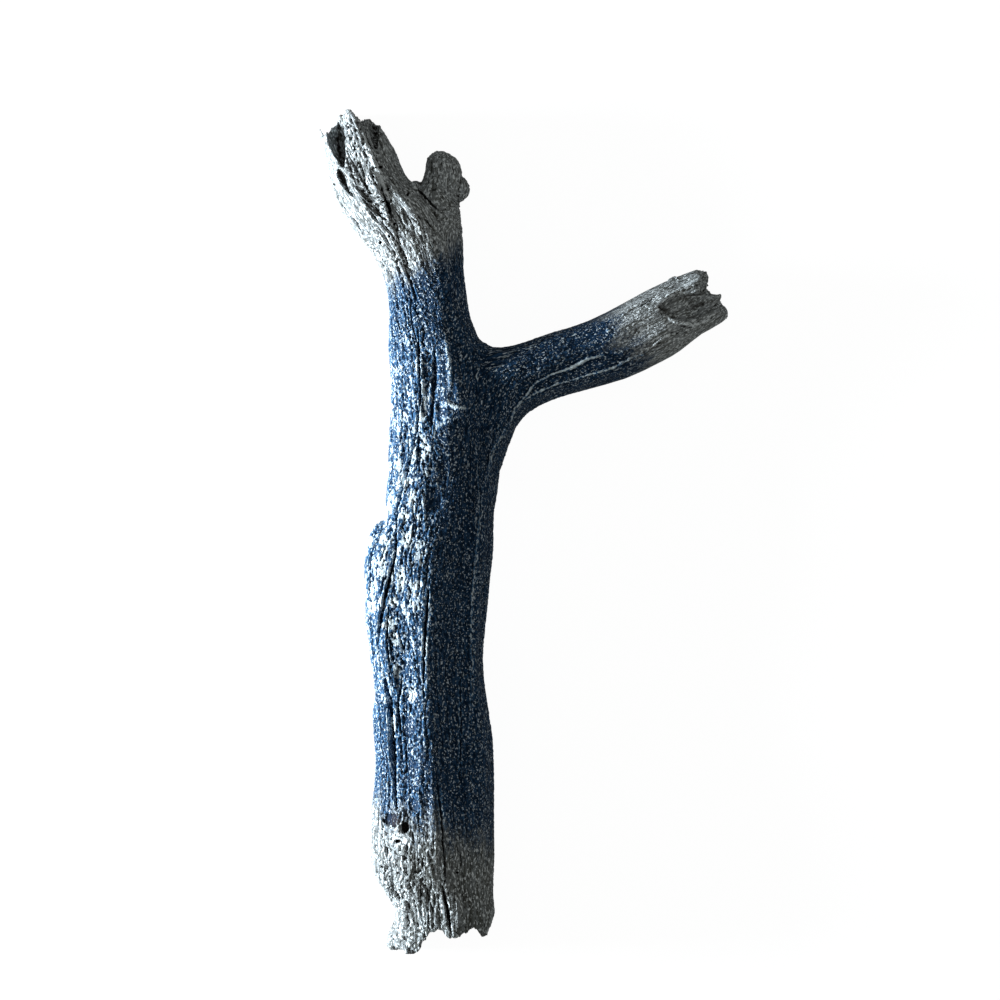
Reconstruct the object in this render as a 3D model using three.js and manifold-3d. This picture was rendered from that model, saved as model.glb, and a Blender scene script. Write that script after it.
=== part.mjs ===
import * as THREE from 'three';
import { mergeVertices } from 'three/addons/utils/BufferGeometryUtils.js';
import Module from 'manifold-3d';

// A forked piece of driftwood, lying on a table. Millimetres, +Z up, +Y along the trunk from its
// broken foot to the hollow tip, +X towards the side branch. The origin is on the table, under the
// middle of the whole piece. It grew as one piece of wood, and is parted here at its forks.

const wasm = await Module();
wasm.setup();

// Driving dimensions. A station is one line across a limb: its left edge x and y, its right edge x
// and y, and the heights of its underside and its crown. An underside below 0 is worn flat there.
const stemStations = [
  [-60.5, -190.5, -13.5, -190.5, 0, 34],
  [-61, -184, -13.5, -184, -1, 37],
  [-58.5, -179.5, -13.5, -179.5, -1.5, 39],
  [-56, -174.5, -13, -174.5, -1.5, 40],
  [-56.5, -168, -13.5, -168, -1.5, 41],
  [-59.5, -164, -14, -164, -2, 41],
  [-64.5, -159.5, -14, -159.5, -2, 41.5],
  [-67, -156, -14, -156, -2, 42],
  [-69, -148.5, -13.5, -148.5, -2.5, 43],
  [-68.5, -139, -13.5, -139, -2.5, 44.5],
  [-68.5, -124.5, -13.5, -124.5, -2.5, 45],
  [-67, -110, -13.5, -110, -2.5, 43.5],
  [-67.5, -95.5, -14, -95.5, -1.5, 42],
  [-68.5, -81, -15.5, -81, -1, 40.5],
  [-67, -71.5, -16.5, -71.5, 0, 40],
  [-69, -59.5, -17.5, -59.5, 1, 40],
  [-69.5, -49, -17, -49, 1.5, 41],
  [-71.5, -38, -16, -38, 2, 42.5],
  [-71, -23.5, -15, -23.5, 2.5, 43.5],
  [-72, -13.5, -14, -13.5, 3, 44.5],
  [-68.5, -4, -13.5, -4, 3, 44.5],
  [-62.5, 5, -13.5, 5, 3, 44],
  [-62, 16, -12, 16, 3, 43.5],
  [-61, 27.5, -10.5, 27.5, 2.5, 44],
  [-61, 41, -8.5, 41, 2.5, 45.5],
  [-60, 54.5, -8.5, 54.5, 2, 46],
  [-59.5, 68, -12, 68, 1.5, 45],
  [-60.5, 79.5, -16, 79.5, 1.5, 42.5],
  [-61, 88.5, -21, 88.5, 1, 40],
  [-60.5, 97.5, -24.5, 97.5, 1, 37.5],
  [-61.5, 107.5, -26, 108.5, 0.5, 36],
  [-65.5, 119.5, -27.5, 121.5, 0, 36],
  [-70, 127.5, -29, 128.5, -1, 36.5],
  [-75, 134, -31.5, 136.5, -1.5, 37],
  [-80, 140, -36.5, 144, -2, 38],
  [-83, 146.5, -45, 152.5, -2, 38],
  [-86, 153.5, -51.5, 158, -2.5, 37.5],
  [-88.5, 162.5, -55, 164, -2.5, 37],
  [-91, 171, -57.5, 170.5, -2, 35.5],
  [-92.5, 178.5, -61.5, 178.5, -1, 34],
  [-93.5, 186, -65, 186, -0.5, 33],
  [-94.5, 192.5, -67.5, 192.5, 0, 32],
];
const sideStations = [
  [-24.5, 81, -12, 23, 5, 41],
  [-16, 83, -7, 37.5, 5.5, 41.5],
  [-8.5, 83, -2, 49.5, 6, 40.5],
  [0.5, 85.5, 7, 56.5, 6, 39],
  [11.5, 89.5, 18.5, 61, 5.5, 37.5],
  [25, 93.5, 32.5, 65, 4.5, 36.5],
  [38.5, 99.5, 47, 69.5, 3, 35.5],
  [52, 107, 61, 76, 1, 34.5],
  [61, 111.5, 69, 80.5, -0.5, 33.5],
  [68, 114.5, 75, 85, -1.5, 32],
  [74.5, 117, 80, 89, -1.5, 31],
  [80, 119, 87.5, 93, -1, 29.5],
  [86.5, 120.5, 94, 98, -0.5, 28],
  [95, 121.5, 101, 101, 0, 27],
];
const stubStations = [
  [-45, 111, -28, 111, 4, 30],
  [-47, 121.5, -27, 123, 4, 30],
  [-48.5, 131, -27.5, 133, 4, 29.5],
  [-49.5, 139.5, -28, 139.5, 4, 29],
  [-50, 147, -29, 147, 4, 28.5],
  [-49, 153.5, -28.5, 153, 4, 28],
  [-45.5, 159, -28, 159, 4, 28],
  [-44.5, 163.5, -28, 163.5, 4.5, 27],
  [-44, 167.5, -30, 167.5, 6.5, 25.5],
  [-42, 170, -33, 170, 10, 21.5],
  [-39.5, 171.5, -36.5, 171.5, 14, 17],
];

// Where a limb is widest, as a share of its height, and how round its section is: 1 is an ellipse,
// and less is boxier. The hollows have flatter floors than the limbs have crowns.
const waistShare = 0.45;
const limbRoundness = 0.86;
const hollowRoundness = 0.6;

// Facets of a section: an angle in degrees from the right edge over the crown, and the radius there
// against the smooth section. Straight runs between them leave long edges along the limb.
const trunkFacets = [
  [0, 1], [20, 0.98], [41, 1.04], [62, 0.96], [86, 1.03], [116, 0.94], [144, 1], [180, 1],
  [210, 0.96], [240, 1.04], [285, 0.97], [325, 1.04], [360, 1],
];
const upperFacets = [
  [0, 1], [32, 0.96], [58, 1.02], [90, 0.98], [124, 1.02], [155, 0.97], [180, 1],
  [225, 0.97], [262, 1.03], [310, 0.97], [360, 1],
];
const sideFacets = [
  [0, 1], [26, 0.91], [48, 1.04], [82, 0.97], [112, 1.04], [146, 0.97], [180, 1],
  [220, 1.02], [270, 0.98], [320, 1.02], [360, 1],
];
const stubFacets = [[0, 1], [60, 0.95], [100, 1.03], [180, 1], [270, 1.02], [360, 1]];
const plainFacets = [[0, 1], [360, 1]];
const facetChange = [0.62, 0.8];

// The edges of the broken ends, seen from above, each from the left of someone who looks along its
// heading, out of the wood, to the right
const footEdge = [
  [-11, -168], [-13.5, -172], [-15, -177], [-17, -180.5], [-18.5, -181.5], [-20.5, -179],
  [-22.5, -176.5], [-25, -179], [-28, -181.5], [-30.5, -182.8], [-33, -184], [-36, -181],
  [-39, -180.5], [-41.5, -181], [-43.5, -182], [-45, -185], [-47.5, -188], [-51, -189],
  [-55, -187.5], [-59.5, -186], [-61, -185.5], [-63, -186.5],
];
const sideEdge = [
  [76, 123], [79, 118.5], [83, 117], [83, 113.5], [82.5, 109.5], [84.5, 107.5], [88, 106.5],
  [87.5, 103], [90.5, 102], [92.5, 100], [91.5, 97.5], [90.5, 94.5],
];
const upperEdge = [
  [-95.5, 178.5], [-92.5, 180], [-91.5, 180.5], [-89.5, 177], [-87, 182.5], [-85, 183.5],
  [-83.5, 187], [-82.5, 189], [-79, 189], [-77.5, 187], [-75.5, 186], [-74, 185], [-70.5, 186],
  [-68, 184.5], [-65, 182], [-62.5, 179], [-60, 175], [-57, 171.5],
];
const footHeading = [0, -1];
const sideHeading = [0.904, 0.427];
const upperHeading = [-0.32, 0.947];

// Hollows of the rotten tip and the scooped end, as stations of what is missing
const openTop = 62;
const cavityStations = [
  [-81.5, 162, -80.8, 162, 22, openTop],
  [-82.5, 164.5, -80.5, 164.5, 15, openTop],
  [-85.5, 169, -80, 169, 10, openTop],
  [-88.5, 176, -79.5, 176, 8, openTop],
  [-88.5, 183.5, -79, 183.5, 8, openTop],
  [-87.5, 196, -79, 196, 8, openTop],
];
const troughStations = [
  [-64, 138.5, -59.5, 138.5, 36.8, openTop],
  [-68, 142, -60, 142.5, 36.2, openTop],
  [-73.5, 148.5, -61.5, 149, 35.4, openTop],
  [-79.5, 157.5, -64.5, 157.5, 34.6, openTop],
  [-84.5, 165, -68, 166, 33.2, openTop],
  [-87, 171.5, -71, 172, 32, openTop],
  [-88.5, 180.5, -74, 180, 30.5, openTop],
  [-89, 196, -76.5, 196, 29, openTop],
];
const slotStations = [
  [-60, 141, -59.2, 141, 24, openTop],
  [-62, 144, -59.5, 144, 16, openTop],
  [-64, 150, -61, 150, 13, openTop],
  [-66, 157.5, -63.4, 157.5, 14, openTop],
  [-67.5, 163, -66, 163, 20, openTop],
  [-68.5, 167, -68, 167, 27, openTop],
];
const rimHoleStations = [
  [-66.5, 170, -65.5, 170, 30, openTop],
  [-68.3, 174, -65.3, 174, 24, openTop],
  [-69.6, 178, -65, 177.5, 17, openTop],
  [-70, 182, -65, 182, 9, openTop],
  [-70.5, 192, -66, 192, 8, openTop],
];
const outerGrooveStations = [
  [-57.8, 160, -56, 160, 30, openTop],
  [-60, 166, -57.2, 166, 26.5, openTop],
  [-62.3, 173, -58.7, 173, 24, openTop],
  [-64.2, 179, -61.3, 178, 21, openTop],
  [-66, 192, -63, 192, 20, openTop],
];
const knotHoleStations = [
  [-79, 151, -77.5, 151.5, 33, openTop],
  [-82.5, 154.5, -77.5, 155.5, 29.5, openTop],
  [-84.5, 159, -79.5, 160, 28, openTop],
  [-84, 162.5, -82.5, 163, 30.5, openTop],
];
const scoopStations = [
  [59.5, 101.5, 60.5, 98.5, 31, openTop],
  [63, 104.5, 65, 94.5, 28, openTop],
  [70.5, 107, 73, 93.5, 26, openTop],
  [77.5, 108, 80, 95.5, 24.5, openTop],
  [83, 107.5, 85, 98, 24, openTop],
  [86.5, 106, 88, 100, 26, openTop],
];

// Long drying cracks: the line of each on the crown side, its width and how deep it goes
const crackPaths = [
  { line: [[-48, 78], [-48, 64], [-50.5, 40], [-56, 12], [-57.5, -8]], width: 1.6, depth: 4 },
  { line: [[-57.5, -4], [-61.5, -28], [-65, -49], [-63.5, -60]], width: 1.6, depth: 4 },
  { line: [[-63, -60], [-60.5, -76], [-59, -98], [-57, -122], [-55, -131]], width: 2.2, depth: 5 },
  { line: [[-44, -22], [-44, -40], [-45.5, -62], [-47.5, -84]], width: 1.2, depth: 3 },
  { line: [[-38, -118], [-36, -136], [-36, -158], [-34, -169], [-31.5, -182]], width: 1.6, depth: 5 },
  { line: [[-59, -140], [-58, -152], [-58, -163]], width: 1.4, depth: 4 },
  { line: [[-46, -157], [-46, -172], [-45, -182]], width: 1.4, depth: 4 },
];

// Lumps on the skin: the middle's x and y, its height, and half sizes across, along and up
const barkSlab = { at: [-64.5, -19], height: 22, size: [7.5, 24, 14] };
const footKnot = { at: [-54, -129], height: 36, size: [6, 9, 7] };
const backKnot = { at: [-22.6, -62], height: 14, size: [5.8, 10, 7] };
const underKnot = { at: [-46, 24], height: 7, size: [9, 12, 6] };
const sideKnob = { at: [-29.4, 154.5], height: 15, size: [5, 6, 6.5] };

// Wood that fills the two crotches, where fibres of both limbs meet
const forkWeb = { at: [-20.5, 79.5], height: 20, size: [6.5, 6.5, 15] };
const stubWeb = { at: [-49, 151.5], height: 16, size: [5.5, 6.8, 12] };

// How far each break falls back behind its edge. The foot is a shallow bowl, given by its middle
// and half sizes across and up. The side branch lost its upper layers over the given heights. The
// tip's raised strip, between two places across, ends short above the given heights.
const footBowl = { across: 37, halfWidth: 20, height: 19, halfHeight: 17, depth: 9 };
const sideLayers = { heights: [17, 25], depth: 4 };
const raisedStrip = { across: [-14, -8], heights: [20, 30], depth: 5 };
const breakLayers = 7;
const breakHeights = [-5, 60];
const breakClearance = 12;

// How finely each skin is divided: sides round it and rows along it
const stemGrid = [34, 54];
const sideGrid = [26, 22];
const stubGrid = [16, 12];
const hollowGrid = [8, 8];
const scoopGrid = [10, 8];
const crackSides = 5;
const crackRowsPerPoint = 3;
const lumpGrid = [10, 7];

// Partings at the forks: the limb's own side of each, as an outline seen from above
const partingGap = 0.3;
const upperSide = [[-150, 84], [-13.8, 84], [-13.8, 250], [-150, 250]];
const branchSide = [[-13.5, 250], [-13.5, 84], [-7, 37.5], [-4, 16], [150, 16], [150, 250]];
const stubSide = [[-49.5, 220], [-49.5, 158.5], [-27, 141.5], [-5, 125], [-5, 220]];
const partingBottom = -20;
const partingTop = 90;

// A curve through stations that is read by their order, not by its length
function throughStations(stations, pick) {
  return new THREE.CatmullRomCurve3(stations.map(pick));
}

// The radius of a faceted section against the smooth one
function facetRadius(facets, angle) {
  const degrees = THREE.MathUtils.euclideanModulo(THREE.MathUtils.radToDeg(angle), 360);
  const next = facets.findIndex(([at]) => at > degrees);
  const [before, radiusBefore] = facets[next - 1];
  const [after, radiusAfter] = facets[next];
  return THREE.MathUtils.mapLinear(degrees, before, after, radiusBefore, radiusAfter);
}

// Slow swellings and furrows that run along a limb with a slight twist, as a share of its radius;
// none at the two edges seen from above, which the stations place
function swelling(share, angle) {
  const away = Math.abs(Math.sin(angle));
  const swell = 0.018 * Math.sin(19 * share + 2 * angle) + 0.014 * Math.sin(43 * share - 3 * angle);
  const furrows = 0.034 * Math.sin(7 * angle + 9 * share) + 0.026 * Math.sin(11 * angle - 13 * share);
  return away * (swell + furrows);
}

// A limb as a function from a share of its length and an angle round it to a point on its skin. Its
// facets turn into the far ones between the two shares of facetChange
function limb(stations, facets, farFacets = facets, roundness = limbRoundness) {
  const left = throughStations(stations, ([x, y]) => new THREE.Vector3(x, y, 0));
  const right = throughStations(stations, ([, , x, y]) => new THREE.Vector3(x, y, 0));
  const heights = throughStations(stations, ([, , , , low, top]) => new THREE.Vector3(low, top, 0));
  const fill = (value) => Math.sign(value) * Math.abs(value) ** roundness;
  const skin = (share, angle) => {
    const edge = right.getPoint(share);
    const middle = left.getPoint(share).lerp(edge, 0.5);
    const { x: low, y: top } = heights.getPoint(share);
    const waist = THREE.MathUtils.lerp(low, top, waistShare);
    const change = THREE.MathUtils.smoothstep(share, ...facetChange);
    const faceted = THREE.MathUtils.lerp(
      facetRadius(facets, angle), facetRadius(farFacets, angle), change,
    );
    const radius = faceted * (1 + swelling(share, angle));
    const rise = Math.sin(angle) > 0 ? top - waist : waist - low;
    const point = middle.clone().lerp(edge, fill(Math.cos(angle)) * radius);
    return point.setZ(Math.max(0, waist + rise * fill(Math.sin(angle)) * radius));
  };
  return { left, right, skin };
}

// A closed solid with rings of a skin between two flat ends
function ringed(skin, [sides, rows]) {
  const profile = [new THREE.Vector2(0, 0)];
  for (let row = 0; row <= rows; row += 1) {
    profile.push(new THREE.Vector2(1, row / rows));
  }
  profile.push(new THREE.Vector2(0, 1));
  return moved(new THREE.LatheGeometry(profile, sides), (place) => {
    const axis = skin(place.y, 0).lerp(skin(place.y, Math.PI), 0.5);
    return axis.lerp(skin(place.y, Math.atan2(place.z, place.x)), Math.hypot(place.x, place.z));
  });
}

// A geometry with every vertex taken to a new place
function moved(geometry, toPlace) {
  const position = geometry.attributes.position;
  const vertex = new THREE.Vector3();
  for (let index = 0; index < position.count; index += 1) {
    const place = toPlace(vertex.fromBufferAttribute(position, index));
    position.setXYZ(index, place.x, place.y, place.z);
  }
  return geometry;
}

// A closed geometry as a solid that can be joined and cut
function solid(geometry) {
  geometry.deleteAttribute('normal');
  geometry.deleteAttribute('uv');
  const merged = mergeVertices(geometry, 1e-3);
  const corners = merged.index.array;
  const triVerts = [];
  for (let corner = 0; corner < corners.length; corner += 3) {
    const [a, b, c] = corners.slice(corner, corner + 3);
    if (a !== b && b !== c && c !== a) {
      triVerts.push(a, b, c);
    }
  }
  return new wasm.Manifold(new wasm.Mesh({
    numProp: 3,
    vertProperties: merged.attributes.position.array,
    triVerts: Uint32Array.from(triVerts),
  }));
}

// The share of a limb's length at which its station line passes through x, y, and how far across
function placeOn(trunk, x, y) {
  let near = 0;
  let far = 1;
  const place = new THREE.Vector3(x, y, 0);
  const across = new THREE.Vector3();
  const offset = new THREE.Vector3();
  for (let step = 0; step < 20; step += 1) {
    const share = (near + far) / 2;
    const left = trunk.left.getPoint(share);
    across.subVectors(trunk.right.getPoint(share), left);
    offset.subVectors(place, left);
    if (across.x * offset.y - across.y * offset.x > 0) {
      near = share;
    } else {
      far = share;
    }
  }
  const shift = 2 * across.dot(offset) / across.lengthSq() - 1;
  const turn = Math.sign(shift) * Math.abs(shift) ** (1 / limbRoundness);
  return { share: near, angle: Math.acos(THREE.MathUtils.clamp(turn, -1, 1)) };
}

// The point of a limb's crown side over x, y, and the direction out of the wood there
function crownAt(trunk, x, y) {
  const { share, angle } = placeOn(trunk, x, y);
  const point = trunk.skin(share, angle);
  const alongSkin = trunk.skin(share + 0.01, angle).sub(point);
  const roundSkin = trunk.skin(share, angle + 0.1).sub(point);
  return { point, out: roundSkin.cross(alongSkin).normalize() };
}

// A wedge that follows a line on the crown side and thins out at both ends
function crack(trunk, { line, width, depth }) {
  const places = line.map(([x, y]) => crownAt(trunk, x, y));
  const route = new THREE.CatmullRomCurve3(places.map(({ point }) => point));
  const outward = new THREE.CatmullRomCurve3(places.map(({ out }) => out));
  const skin = (share, angle) => {
    const out = outward.getPoint(share).normalize();
    const side = route.getTangent(share).cross(out).normalize();
    const taper = Math.sin(Math.PI * THREE.MathUtils.clamp(share, 0.04, 0.96)) ** 0.5;
    const reach = Math.sin(angle) > 0 ? width : depth;
    return route.getPoint(share)
      .addScaledVector(side, width / 2 * taper * Math.cos(angle))
      .addScaledVector(out, reach * taper * Math.sin(angle));
  };
  return solid(ringed(skin, [crackSides, crackRowsPerPoint * (line.length - 1)]));
}

// A rounded swelling, with its poles along the limb
function lump({ at, height, size }) {
  return solid(new THREE.SphereGeometry(1, ...lumpGrid).scale(...size).translate(...at, height));
}

// What is missing past a broken end: a block whose near face is the break. setBack gives how far the
// break lies behind the edge that is seen from above, by place across and height
function pastBreak(edge, heading, setBack) {
  const ahead = new THREE.Vector3(...heading, 0).normalize();
  const across = new THREE.Vector3(ahead.y, -ahead.x, 0);
  const corners = edge.map(([x, y]) => new THREE.Vector3(x, y, 0));
  const reach = Math.max(...corners.map((corner) => corner.dot(ahead))) + breakClearance;
  const block = new THREE.BoxGeometry(1, 1, 1, corners.length - 1, 1, breakLayers);
  return solid(moved(block, (place) => {
    const corner = corners[Math.round((place.x + 0.5) * (corners.length - 1))];
    const shift = corner.dot(across);
    const z = THREE.MathUtils.lerp(...breakHeights, place.z + 0.5);
    const forward = place.y > 0 ? reach : corner.dot(ahead) - setBack(shift, z);
    return across.clone().multiplyScalar(shift).addScaledVector(ahead, forward).setZ(z);
  }));
}

// What is missing in a hollow that opens upwards
function hollow(stations, grid) {
  return solid(ringed(limb(stations, plainFacets, plainFacets, hollowRoundness).skin, grid));
}

// A flat-sided region seen from above, as deep as the whole piece is high
function region(outline, shift = [0, 0]) {
  const shape = new THREE.Shape(outline.map((corner) => new THREE.Vector2(...corner)));
  const depth = partingTop - partingBottom;
  const block = new THREE.ExtrudeGeometry(shape, { depth, bevelEnabled: false });
  return solid(block.translate(...shift, partingBottom));
}

// Ragged steps of a break, in millimetres
function ragged(shift, z) {
  return 1.1 * Math.sin(1.9 * shift + 0.7 * z) + 0.9 * Math.sin(0.6 * shift - 1.3 * z);
}

function footBreak(shift, z) {
  const { across, halfWidth, height, halfHeight, depth } = footBowl;
  const bowl = 1 - ((shift - across) / halfWidth) ** 2 - ((z - height) / halfHeight) ** 2;
  return bowl > 0 ? depth * bowl ** 0.7 + ragged(shift, z) : 0.2 * ragged(shift, z);
}

function sideBreak(shift, z) {
  const above = THREE.MathUtils.smoothstep(z, ...sideLayers.heights);
  return sideLayers.depth * above + 0.5 * ragged(shift, z);
}

function upperBreak(shift, z) {
  const nearSide = THREE.MathUtils.smoothstep(z, ...raisedStrip.heights);
  const onStrip = THREE.MathUtils.smoothstep(shift, ...raisedStrip.across);
  return raisedStrip.depth * onStrip * nearSide + 0.5 * ragged(shift, z);
}

// The trunk and the upper limb, which are one stem
function stemSolid() {
  const stem = limb(stemStations, trunkFacets, upperFacets);
  const hollows = [
    cavityStations, troughStations, slotStations, rimHoleStations, outerGrooveStations,
    knotHoleStations,
  ];
  let wood = solid(ringed(stem.skin, stemGrid));
  for (const swollen of [barkSlab, footKnot, backKnot, underKnot, forkWeb, stubWeb]) {
    wood = wood.add(lump(swollen));
  }
  for (const path of crackPaths) {
    wood = wood.subtract(crack(stem, path));
  }
  for (const stations of hollows) {
    wood = wood.subtract(hollow(stations, hollowGrid));
  }
  return wood
    .subtract(pastBreak(footEdge, footHeading, footBreak))
    .subtract(pastBreak(upperEdge, upperHeading, upperBreak));
}

function sideSolid() {
  return solid(ringed(limb(sideStations, sideFacets).skin, sideGrid))
    .subtract(hollow(scoopStations, scoopGrid))
    .subtract(pastBreak(sideEdge, sideHeading, sideBreak));
}

function stubSolid() {
  return solid(ringed(limb(stubStations, stubFacets).skin, stubGrid)).add(lump(sideKnob));
}

// Weathered grey wood at the ends, dark blue paint in the middle
const bareWood = new THREE.MeshStandardMaterial({ color: 0x9aa3a6, roughness: 0.85, metalness: 0 });
const paintedWood = new THREE.MeshStandardMaterial({ color: 0x18242f, roughness: 0.5, metalness: 0 });

function piece(name, wood, material) {
  const { vertProperties, triVerts } = wood.getMesh();
  const geometry = new THREE.BufferGeometry();
  geometry.setAttribute('position', new THREE.BufferAttribute(vertProperties, 3));
  geometry.setIndex(new THREE.BufferAttribute(triVerts, 1));
  const mesh = new THREE.Mesh(geometry, material);
  mesh.name = name;
  return mesh;
}

const grown = stemSolid().add(sideSolid()).add(stubSolid());
const trunk = grown
  .subtract(region(upperSide, [0, -partingGap]))
  .subtract(region(branchSide, [-partingGap, 0]));
const limbAndStub = grown.intersect(region(upperSide));
const upperLimb = limbAndStub.subtract(region(stubSide, [-partingGap, -partingGap]));

const driftwood = new THREE.Group();
driftwood.add(
  piece('trunk', trunk, paintedWood),
  piece('upper_limb', upperLimb, bareWood),
  piece('side_branch', grown.intersect(region(branchSide)), paintedWood),
  piece('knot_stub', limbAndStub.intersect(region(stubSide)), bareWood),
);

export default driftwood;
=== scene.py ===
# %% [markdown]
# # A forked piece of driftwood, painted dark blue in the middle
# The real thing is one branch that grew, forked, broke off and was worn by water and sun. Someone
# then sprayed its middle dark blue and left the ends bare. It lies on a pale table and is seen from
# straight above. The frame gives its four solids, parted at the forks, at their real size.
# Such wood could be sculpted by hand with brushes. Here every ridge, pit and crack is calculated,
# so that the script gives the same wood each time and each kind of mark can be changed by itself.

import itertools
import math

import bmesh
import bpy
import numpy as np
from mathutils import Matrix, Vector
from mathutils.bvhtree import BVHTree


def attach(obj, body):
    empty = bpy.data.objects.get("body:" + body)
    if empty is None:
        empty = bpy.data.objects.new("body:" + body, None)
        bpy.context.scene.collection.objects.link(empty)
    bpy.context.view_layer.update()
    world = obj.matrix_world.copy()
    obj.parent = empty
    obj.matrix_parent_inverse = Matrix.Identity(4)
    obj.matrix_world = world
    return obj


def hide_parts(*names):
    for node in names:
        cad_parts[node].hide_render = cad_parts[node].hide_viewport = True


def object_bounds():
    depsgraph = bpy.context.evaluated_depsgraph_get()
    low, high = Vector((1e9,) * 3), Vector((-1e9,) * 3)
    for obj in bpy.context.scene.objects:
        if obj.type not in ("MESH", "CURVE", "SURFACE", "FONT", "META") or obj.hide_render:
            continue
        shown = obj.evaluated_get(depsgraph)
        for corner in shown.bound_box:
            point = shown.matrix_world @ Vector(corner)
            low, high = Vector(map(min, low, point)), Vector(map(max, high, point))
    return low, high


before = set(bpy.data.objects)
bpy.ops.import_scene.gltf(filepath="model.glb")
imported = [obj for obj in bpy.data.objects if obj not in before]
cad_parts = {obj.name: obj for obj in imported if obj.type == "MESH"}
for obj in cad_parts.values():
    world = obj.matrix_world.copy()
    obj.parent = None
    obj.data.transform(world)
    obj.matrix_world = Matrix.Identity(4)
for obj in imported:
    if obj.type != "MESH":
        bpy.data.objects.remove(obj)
cad_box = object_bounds()
MM = 0.001
print("solids in the frame:", ", ".join(sorted(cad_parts)))

# %% [markdown]
# ## One skin for the whole branch
# On the real branch the fibres run on from the trunk into both limbs, so no joint may show. The
# frame's solids stand a hair apart and have flat facets. They could be joined by a Boolean, but its
# long thin triangles would not bend into grain. Each solid is swollen until it meets its neighbour,
# and a voxel remesh then wraps them all in one even net of small squares.

# %% Weld and swell the solids, then wrap them
SEAM_GAP = 0.3 * MM
SWELL = 0.9 * SEAM_GAP
WELD = 0.01 * MM
CELL = 0.42 * MM


def add_swollen(node, target):
    """Adds a solid's welded triangles to a bmesh, each vertex pushed out a little."""
    part = bmesh.new()
    part.from_mesh(node.data)
    bmesh.ops.remove_doubles(part, verts=part.verts, dist=WELD)
    part.normal_update()
    for vertex in part.verts:
        vertex.co += vertex.normal * SWELL
    mesh = bpy.data.meshes.new("swollen")
    part.to_mesh(mesh)
    part.free()
    target.from_mesh(mesh)
    bpy.data.meshes.remove(mesh)


def as_mesh(shape, name):
    """A bmesh as a mesh. The bmesh is freed."""
    mesh = bpy.data.meshes.new(name)
    shape.to_mesh(mesh)
    shape.free()
    return mesh


def modified(mesh, kind, **settings):
    """The mesh that one modifier makes of another, which is removed."""
    holder = bpy.data.objects.new("at work", mesh)
    bpy.context.collection.objects.link(holder)
    modifier = holder.modifiers.new(kind.lower(), kind)
    for name, value in settings.items():
        setattr(modifier, name, value)
    depsgraph = bpy.context.evaluated_depsgraph_get()
    made = bpy.data.meshes.new_from_object(
        holder.evaluated_get(depsgraph), preserve_all_data_layers=True, depsgraph=depsgraph
    )
    bpy.data.objects.remove(holder)
    bpy.data.meshes.remove(mesh)
    return made


joined = bmesh.new()
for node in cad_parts.values():
    add_swollen(node, joined)
skin = modified(as_mesh(joined, "solids"), "REMESH", mode="VOXEL", voxel_size=CELL)
print("the skin has", len(skin.vertices), "vertices")

# %% [markdown]
# ## Rounding the facets
# Worn wood has no flat facets, but a broken end has thin, sharp lips. A vertex is rounded by moving
# it towards the middle of its neighbours, over and over. The Smooth modifier does this too, but its
# strength is easier to vary along the branch when the places are held in one array. The trunk is
# rounded much more than the three ends.

# %% Read and move the vertices of a mesh


def places(mesh):
    """The vertices of a mesh, in millimetres."""
    flat = np.empty(3 * len(mesh.vertices), np.float32)
    mesh.vertices.foreach_get("co", flat)
    return flat.reshape(-1, 3).astype(float) / MM


def outward(mesh):
    """The normal at each vertex."""
    flat = np.empty(3 * len(mesh.vertices), np.float32)
    mesh.vertex_normals.foreach_get("vector", flat)
    return flat.reshape(-1, 3).astype(float)


def place(mesh, points):
    """Moves the vertices of a mesh to points given in millimetres."""
    mesh.vertices.foreach_set("co", (points * MM).astype(np.float32).ravel())
    mesh.update()


print("the skin spans", np.ptp(places(skin), axis=0).round(), "mm")

# %% Round the trunk well and the ends a little


def neighbour_mean(mesh):
    """A function that replaces each row of an array by the mean of its neighbours' rows."""
    ends = np.empty(2 * len(mesh.edges), np.int32)
    mesh.edges.foreach_get("vertices", ends)
    one, other = ends.reshape(-1, 2).T
    start = np.concatenate([one, other])
    finish = np.concatenate([other, one])
    count = len(mesh.vertices)
    degree = np.maximum(np.bincount(start, minlength=count), 1)

    def mean(rows):
        sums = [np.bincount(start, column[finish], count) for column in rows.T]
        return np.stack(sums, axis=1) / degree[:, None]

    return mean


def ramp(low, high, value):
    """0 below low, 1 above high and a smooth rise between them. It falls where low is above high."""
    share = np.clip((value - low) / (high - low), 0, 1)
    return share * share * (3 - 2 * share)


ROUNDING = 2.1
END_ROUNDING = 0.55
ROUNDING_STEP = 0.7
FOOT_Y = (-172, -160)
TIP_Y = (132, 142)
SIDE_END_X = (52, 62)


def end_share(points):
    """1 at the three broken ends and 0 between them."""
    foot = ramp(*FOOT_Y[::-1], points[:, 1])
    tip = ramp(*TIP_Y, points[:, 1])
    side = ramp(*SIDE_END_X, points[:, 0])
    return np.maximum.reduce([foot, tip, side])


points = places(skin) - outward(skin) * SWELL / MM
mean = neighbour_mean(skin)
rounds = int((ROUNDING * MM / CELL) ** 2)
strength = 1 - (1 - END_ROUNDING**2 / ROUNDING**2) * end_share(points)
for _ in range(rounds):
    points += ROUNDING_STEP * strength[:, None] * (mean(points) - points)
place(skin, points)
print("rounded", rounds, "times")

# %% [markdown]
# ## Which way the grain runs
# Every mark on driftwood follows its fibres: ridges and cracks run along them, and pits are a little
# longer that way. So each point needs its place in the grain: how far right of a limb's core, how
# far above it, and how far along it. A texture could be painted along each limb by hand. Here the
# core of each limb is a curve, and the nearest place on it is looked up for all points at once.
# Round a fork the answers for both limbs are blended, as real fibres turn into a branch.

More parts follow.
